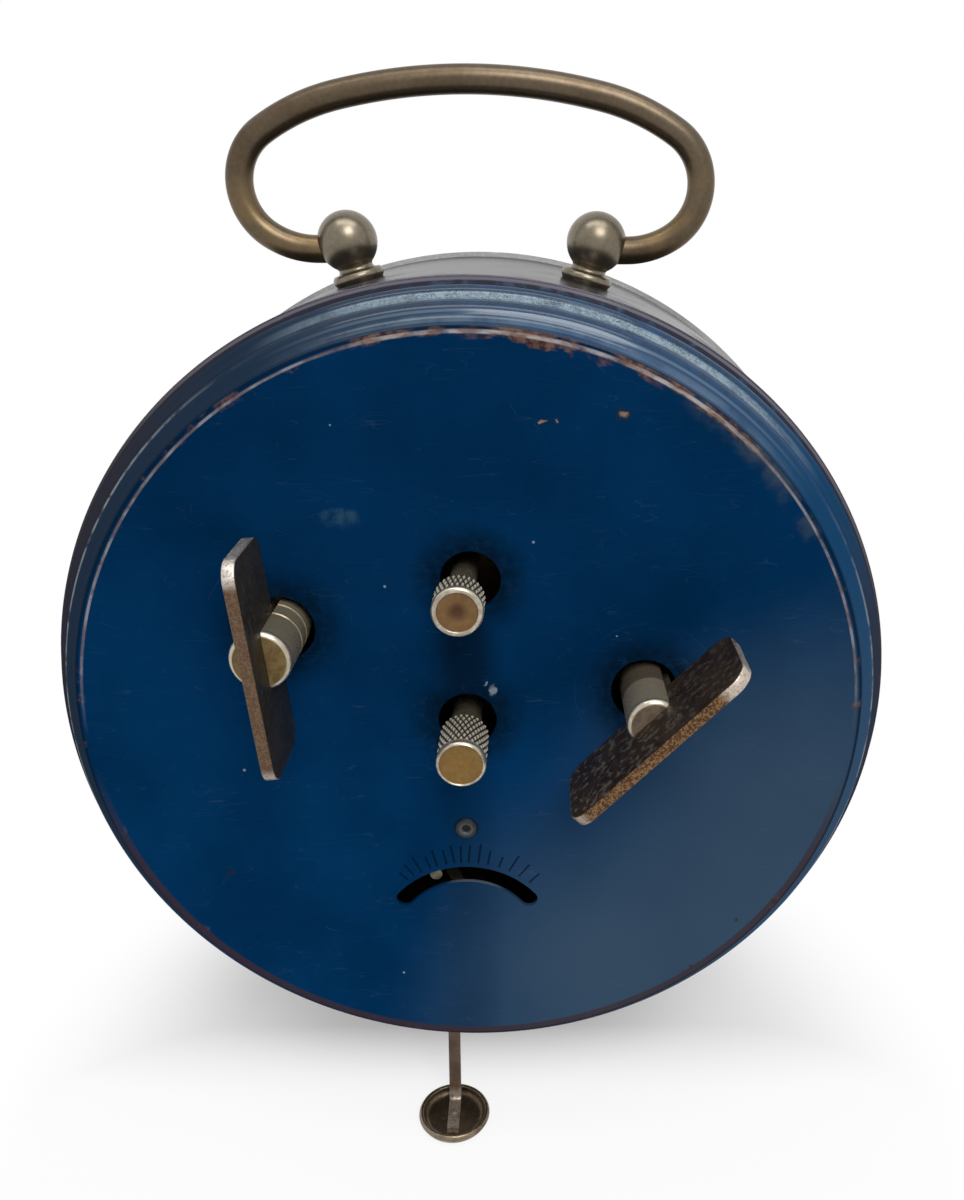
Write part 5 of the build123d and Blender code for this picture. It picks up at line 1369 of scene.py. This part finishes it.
# %% Mix the key plates
def plate_finish(name, place, node, angle, face_tones, edge_tones, speckle_scale, bright, tip,
                 mottle_side, pit):
    """A wing's finish: its flat sides, its speckled edges, and the bright end next to the tip,
    polish with a painted highlight.
    """
    material = finish(name)
    where = place_in(place, turn=angle)
    along, depth = parts(where)[:2]
    outer = -box_depths(node)[0]
    past_end = less(maths("ABSOLUTE", along), wing_long / 2 - wing_corner)
    past_edge = less(depth, outer - wing_corner)
    past = place_node("CombineXYZ", {"X": either(past_end, 0.0), "Y": either(past_edge, 0.0)})
    past = vector_maths("LENGTH", past)
    outward = fade(past, wing_corner - 0.15, wing_corner - 0.02)
    grain = noise(where, 1.6, detail=5, roughness=0.65)
    cloud = use_group(blotches, Vector=where, Scale=0.25, Low=0.4, High=0.62)
    face = colour(cloud, *face_tones[:2])
    mottle = use_group(blotches, Vector=where, Scale=1.1, Low=0.5, High=0.62)
    sideways = both(along, mottle_side)
    mottle = both(mottle, fade(sideways, -wing_long / 2, wing_long / 2, 0.35, 1.0))
    face = colour(mottle, face, face_tones[2])
    fleck = noise(where, speckle_scale, detail=4, roughness=0.7)
    edge = colour(fade(fleck, 0.47, 0.55), *edge_tones[:2])
    edge = colour(fade(noise(where, speckle_scale * 1.7), 0.56, 0.62), edge, edge_tones[2])
    shade = colour(outward, face, edge)
    # The bright end is polish on the rounded edge, with a painted highlight where the corner
    # catches the light.
    near_tip = fade(along, wing_long / 2 - tip, wing_long / 2 - tip + 1.6)
    far_tip = fade(along, 0.9 - wing_long / 2, 2.4 - wing_long / 2, 0.6, 0.0)
    end = both(either(near_tip, far_tip), outward, fade(fleck, 0.36, 0.5, 0.45, 1.0))
    shade = colour(end, shade, bright)
    hollow = use_group(pits, Vector=where, Scale=1.5, Depth=pit)
    shade = colour(hollow, shade, (0.012, 0.008, 0.006))
    line = use_group(hair_scratches, Vector=where, Scale=1.0, Width=0.01, Amount=0.5)
    shade = colour(both(line, 0.2), shade, tuple(1.8 * v for v in face_tones[0]))
    rough = plus(fade(grain, 0.3, 0.7, 0.32, 0.5), both(hollow, 0.3))
    metal = fade_line(either(end, both(outward, 0.5)), 0.4, 1.0)
    surface(Base_Color=shade, Roughness=rough, Metallic=metal)
    height = less(both(grain, 0.3 + pit), hollow)
    bumped(height, 0.07)
    return material


alarm_plate = plate_finish(
    "nickel_plate", alarm_key, "alarm_key_wing", alarm_wing_angle,
    ((0.036, 0.030, 0.018), (0.026, 0.020, 0.011), (0.046, 0.041, 0.034)),
    ((0.105, 0.060, 0.033), (0.15, 0.093, 0.056), (0.06, 0.032, 0.017)), 3.2,
    (0.58, 0.53, 0.47), 3.1, 1, 0.1,
)
time_plate = plate_finish(
    "rusty_plate", time_key, "time_key_wing", time_wing_angle,
    ((0.036, 0.022, 0.012), (0.020, 0.011, 0.006), (0.125, 0.112, 0.092)),
    ((0.070, 0.027, 0.008), (0.22, 0.125, 0.052), (0.030, 0.015, 0.008)), 3.6,
    (0.56, 0.48, 0.41), 4.2, -1, 0.75,
)
coat(alarm_wing, alarm_plate)
coat(time_wing, time_plate)


# %% Mix the finish of a turned end: plated side, bright rim, brown face
def end_finish(name, place, face_depth, face_radius, side_tones, face_tones, spot_tone,
               groove_radius=0.0, sleeve=None):
    """A barrel's or a knob's finish, with dirt and painted shade in its grooves or a darker sleeve
    at its foot.
    """
    material = finish(name, Specular_IOR_Level=0.25)
    where = place_in(place)
    reach = radius_of(where)
    depth = parts(where)[1]
    grain = noise(where, 1.2, detail=2)
    cloud = use_group(blotches, Vector=where, Scale=0.2, Low=0.25, High=0.85)
    side = colour(cloud, *side_tones)
    if groove_radius:
        # Dirt and painted shade darken the knurl's grooves.
        sunk = fall(reach, groove_radius - 0.2, groove_radius - 0.03)
        side = colour(sunk, side, (0.035, 0.030, 0.022))
    if sleeve:
        sleeved = fall(depth, sleeve - 0.1, sleeve + 0.1)
        side = colour(sleeved, side, (0.105, 0.085, 0.062))
    face = colour(fade(grain, 0.35, 0.62), *face_tones)
    face = colour(fall(reach, 0.3, 1.5), face, spot_tone)
    front = fade(depth, face_depth - 0.62, face_depth - 0.42)
    inner = fall(reach, face_radius - 0.06, face_radius + 0.06)
    collar = fade(depth, face_depth - 1.0, face_depth - 0.75)
    rim = colour(fade(grain, 0.35, 0.6, 0.0, 0.35), (0.50, 0.445, 0.355), side)
    shade = colour(collar, side, rim)
    on_face = both(front, inner)
    shade = colour(on_face, shade, face)
    metal = both(fade_line(collar, 0.45, 0.85), fade_line(on_face, 1.0, 0.4))
    dimple = both(front, fall(reach, 0.5, 1.1))
    metal = both(metal, fade_line(dimple, 1.0, 0.0))
    rough = plus(fade(grain, 0.3, 0.7, 0.24, 0.36), both(on_face, 0.28))
    rough = plus(rough, both(dimple, 0.25))
    surface(Base_Color=shade, Roughness=rough, Metallic=metal)
    bumped(both(grain, 0.2), 0.03)
    return material


olive = ((0.235, 0.200, 0.137), (0.205, 0.172, 0.115))
pale_olive = ((0.26, 0.225, 0.168), (0.225, 0.192, 0.14))
time_end = end_finish("time_barrel_nickel", time_key, 9.3, 2.6, pale_olive,
                      ((0.115, 0.082, 0.053), (0.165, 0.125, 0.086)), (0.12, 0.085, 0.058),
                      sleeve=3.1)
alarm_end = end_finish("alarm_barrel_nickel", alarm_key, 9.6, 3.0, olive,
                       ((0.13, 0.082, 0.030), (0.19, 0.13, 0.052)), (0.13, 0.075, 0.022))
coat(time_barrel, time_end)
coat(alarm_barrel, alarm_end)
knob_side = ((0.78, 0.71, 0.57), (0.60, 0.54, 0.42))
time_knob_metal = end_finish("time_knob_nickel", centre, 10.3, 2.5, knob_side,
                             ((0.200, 0.118, 0.034), (0.175, 0.098, 0.027)), (0.19, 0.102, 0.026),
                             groove_radius=knob_radius)
alarm_knob_metal = end_finish("alarm_knob_nickel", alarm_set, 9.9, 2.28, knob_side,
                              ((0.170, 0.095, 0.037), (0.145, 0.078, 0.029)), (0.060, 0.026, 0.009),
                              groove_radius=knob_radius)
coat(time_knob, time_knob_metal)
coat(alarm_knob, alarm_knob_metal)

# %% Mix the strap's brown, with a painted highlight where its tail lies face up in the dish
strap_brown = finish("strap_brown")
where = place_in()
height_on_back = parts(where)[2]
grain = noise(where, 1.8, detail=5, roughness=0.65)
cloud = use_group(blotches, Vector=where, Scale=0.4, Low=0.4, High=0.62)
brown = colour(cloud, (0.105, 0.062, 0.036), (0.065, 0.036, 0.021))
foot_top = 3.2 - axis_height
# Painted highlight: the tail that lies face up in the dish is painted pale, as light from above
# makes it; it is also made more metallic, as rubbed steel.
wear_and_highlight = both(fall(height_on_back, foot_top - 0.6, foot_top + 0.6),
            fade(grain, 0.38, 0.5, 0.35, 1.0))
brown = colour(wear_and_highlight, brown, (0.36, 0.30, 0.25))
hollow = use_group(pits, Vector=where, Scale=1.4, Depth=0.5)
brown = colour(hollow, brown, (0.03, 0.02, 0.014))
surface(Base_Color=brown, Roughness=fade(grain, 0.3, 0.7, 0.32, 0.5),
        Metallic=fade_line(wear_and_highlight, 0.3, 0.8))
bumped(less(grain, hollow), 0.05)
coat(strap, strap_brown)
print("key and foot finishes:", len(bpy.data.materials))

# %% [markdown]
# ## Dial, glass and movement
# The dial is cream paper gone a little brown at its edge, the print and hands are black enamel,
# and the glass is plain. Inside, the plates and wheels are brass and the arbors steel; the rear
# plate's brass is darkened as painted shade for the closed case. They keep the working model's
# own shapes and only take a finish in their material slots.

# %% Mix dial, ink, enamel black and glass
cream = finish("dial_paper", Roughness=0.6, Specular_IOR_Level=0.3)
where = place_in()
yellowed = fade(radius_of(where), 20, 50)
yellowed = both(yellowed, fade(noise(where, 0.09, detail=5), 0.3, 0.7, 0.5, 1.0))
paper = colour(yellowed, (0.80, 0.77, 0.66), (0.68, 0.60, 0.44))
foxing = use_group(blotches, Vector=where, Scale=0.35, Low=0.62, High=0.72)
paper = colour(both(foxing, 0.35), paper, (0.42, 0.30, 0.17))
surface(Base_Color=paper)
bumped(noise(where, 2.5), 0.02)

ink_black = finish("dial_ink", Roughness=0.5, Specular_IOR_Level=0.3)
where = place_in()
tone = colour(fade(noise(where, 1.5, detail=4), 0.4, 0.7),
              (0.012, 0.011, 0.010), (0.035, 0.031, 0.027))
surface(Base_Color=tone)

hand_black = finish("hand_enamel", Coat_Weight=0.4, Coat_Roughness=0.15)
where = place_in()
grain = noise(where, 1.1, detail=4)
tone = colour(fade(grain, 0.62, 0.7), (0.010, 0.010, 0.011), (0.09, 0.06, 0.04))
surface(Base_Color=tone, Roughness=fade(grain, 0.3, 0.7, 0.3, 0.45))

clear = finish("clock_glass", Transmission_Weight=1.0, IOR=1.46, Base_Color=(1, 1, 1, 1))
where = place_in()
smear = noise(stretched(where, (0.3, 1, 1), (0, 0.6, 0)), 0.12, detail=3)
surface(Roughness=fade(smear, 0.5, 0.8, 0.01, 0.06))
for piece in (minute_hand, hour_hand, alarm_hand):
    coat(piece, hand_black)
for piece in (numerals, track, alarm_track):
    coat(piece, ink_black)

# %% Finish the carried-over nodes
replaced = {"rear_cover", "case_drum", "front_bezel", "handle", "handle_post_left",
            "handle_post_right", "front_foot_left", "front_foot_right", "rear_leg",
            "rear_foot_pad", "cover_screw", "time_key_barrel", "time_key_wing",
            "alarm_key_barrel", "alarm_key_wing", "time_set_knob", "alarm_set_knob",
            "minute_hand", "hour_hand", "alarm_hand"}
steel_words = ("arbor", "pinion", "stud", "nut", "click", "screw", "rivet", "pallet", "hammer")
for name, piece in nodes.items():
    if name in replaced:
        continue
    if name in ("dial", "dial_ring"):
        material = cream
    elif name == "glass":
        material = clear
    elif name in ("centre_arbor", "alarm_set_arbor", "regulator_lever"):
        material = shaft_olive
    elif name in ("pad_rivet", "rear_leg_screw"):
        material = strap_brown
    # The rear plate takes the brass darkened as painted shade.
    elif name == "rear_plate":
        material = painted_shade_brass
    elif "spring" in name:
        material = blued_spring
    elif "plate" in name or "pillar" in name and "nut" not in name:
        material = plate_brass
    elif any(word in name for word in steel_words):
        material = arbor_steel
    else:
        material = wheel_brass
    coat(piece, material)
    print(name, "->", material.name)

# %% [markdown]
# ## Who carries what
# Every new piece rides on a body of the model, so it moves with it, and names the nodes that it
# stands for. Printed marks replace nothing: they lie on the dial and ride with the case.

# %% Hand the pieces to their bodies
carried = [
    (rear_cover, "frame", "blue_enamel", ["rear_cover"]),
    (drum, "frame", "nickel_case", ["case_drum"]),
    (bezel, "frame", "nickel_case", ["front_bezel"]),
    (handle, "handle", "aged_bronze", ["handle"]),
    (posts[0], "frame", "nickel_post", ["handle_post_left"]),
    (posts[1], "frame", "nickel_post", ["handle_post_right"]),
    (feet[0], "frame", "nickel_post", ["front_foot_left"]),
    (feet[1], "frame", "nickel_post", ["front_foot_right"]),
    (strap, "frame", "dark_strap", ["rear_leg"]),
    (dish, "frame", "aged_bronze", ["rear_foot_pad"]),
    (screw, "frame", "screw_bronze", ["cover_screw"]),
    (time_barrel, "time_key", "key_nickel", ["time_key_barrel"]),
    (time_wing, "time_key", "rusty_steel", ["time_key_wing"]),
    (alarm_barrel, "alarm_key", "key_nickel", ["alarm_key_barrel"]),
    (alarm_wing, "alarm_key", "key_nickel", ["alarm_key_wing"]),
    (time_knob, "time_set", "knob_nickel", ["time_set_knob"]),
    (alarm_knob, "alarm_set", "knob_nickel", ["alarm_set_knob"]),
    (minute_hand, "time_set", "hand_paint", ["minute_hand"]),
    (hour_hand, "hour_wheel", "hand_paint", ["hour_hand"]),
    (alarm_hand, "alarm_set", "hand_paint", ["alarm_hand"]),
    (numerals, "frame", "dial_paint", []),
    (track, "frame", "dial_paint", []),
    (alarm_track, "frame", "dial_paint", []),
]
for piece, body, slot, stands_for in carried:
    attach(piece, body)
    if stands_for:
        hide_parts(*stands_for)
print("pieces carried:", len(carried))

# %% [markdown]
# ## The table and the light
# The clock stands on a plain white sheet that fades into a white room. Under the clock and on
# the dial's side the sheet is mostly a lit surface, so it keeps the soft shadow; behind the
# clock and farther out it is plain white. Two soft lamps light the clock: a broad one over the
# shoulder of whoever looks, and a strip overhead.

# %% Lay the floor
deselect()
bpy.ops.mesh.primitive_plane_add(size=6)
floor_sheet = bpy.context.object
floor_sheet.name = "floor_sheet"
sheet_white = bpy.data.materials.new("floor_white")
start_tree(sheet_white)
lit = place_node("BsdfDiffuse", {"Color": (0.86, 0.86, 0.86, 1)})
plain = place_node("Emission", {"Strength": 1.0})
where = place_node("TexCoord").node.outputs["Object"]
away = vector_maths("LENGTH", where)
seen = looked_at()
behind = fade(parts(where)[1], -0.017, 0.006, 0.0, 0.85)
beyond = fade(away, 0.042, 0.078, 0.2, 1.0)
blended = both(seen, either(behind, beyond))
place_node("OutputMaterial", {"Surface": place_node("MixShader", {0: blended, 1: lit, 2: plain})})
coat(floor_sheet, sheet_white)

# %% Light the room
room = bpy.data.worlds.new("white_room")
bpy.context.scene.world = room
start_tree(room)
seen = looked_at()
strength = fade_line(seen, 0.55, 1.0)
air = place_node("Background", {"Color": (1, 1, 1, 1), "Strength": strength})
place_node("OutputWorld", {"Surface": air})


def lamp(name, place, target, size, power):
    """A soft oblong lamp that shines at its target."""
    deselect()
    bpy.ops.object.light_add(type="AREA", location=place)
    light = bpy.context.object
    light.name = name
    light.data.shape = "RECTANGLE"
    light.data.size, light.data.size_y = size
    light.data.energy = power
    way = Vector(target) - Vector(place)
    light.rotation_euler = way.to_track_quat("-Z", "Y").to_euler()
    return light


lamp("shoulder_lamp", (-0.22, 0.75, 0.85), (0, 0, 0.07), (0.5, 0.5), 6.0)
lamp("overhead_strip", (0.0, 0.18, 0.9), (0, 0, 0.1), (0.9, 0.22), 2.4)

# %% [markdown]
# ## Camera
# The view is from behind and above, through a moderate lens, with a small sideways shift.

# %% Place the camera
deselect()
bpy.ops.object.camera_add(location=(-7.53 * mm, 132.68 * mm, 129.26 * mm))
camera = bpy.context.object
right = Vector((-0.99988, 0.01433, 0.00543))
up = Vector((0, -0.35449, 0.93506))
out = right.cross(up)
camera.matrix_world = Matrix(
    (
        (right.x, up.x, out.x, camera.location.x),
        (right.y, up.y, out.y, camera.location.y),
        (right.z, up.z, out.z, camera.location.z),
        (0, 0, 0, 1),
    )
)
camera.data.lens = 32.4
camera.data.shift_x = -0.0567
camera.data.clip_start = 0.01
bpy.context.scene.camera = camera
print("camera at", [round(value / mm, 1) for value in camera.location])
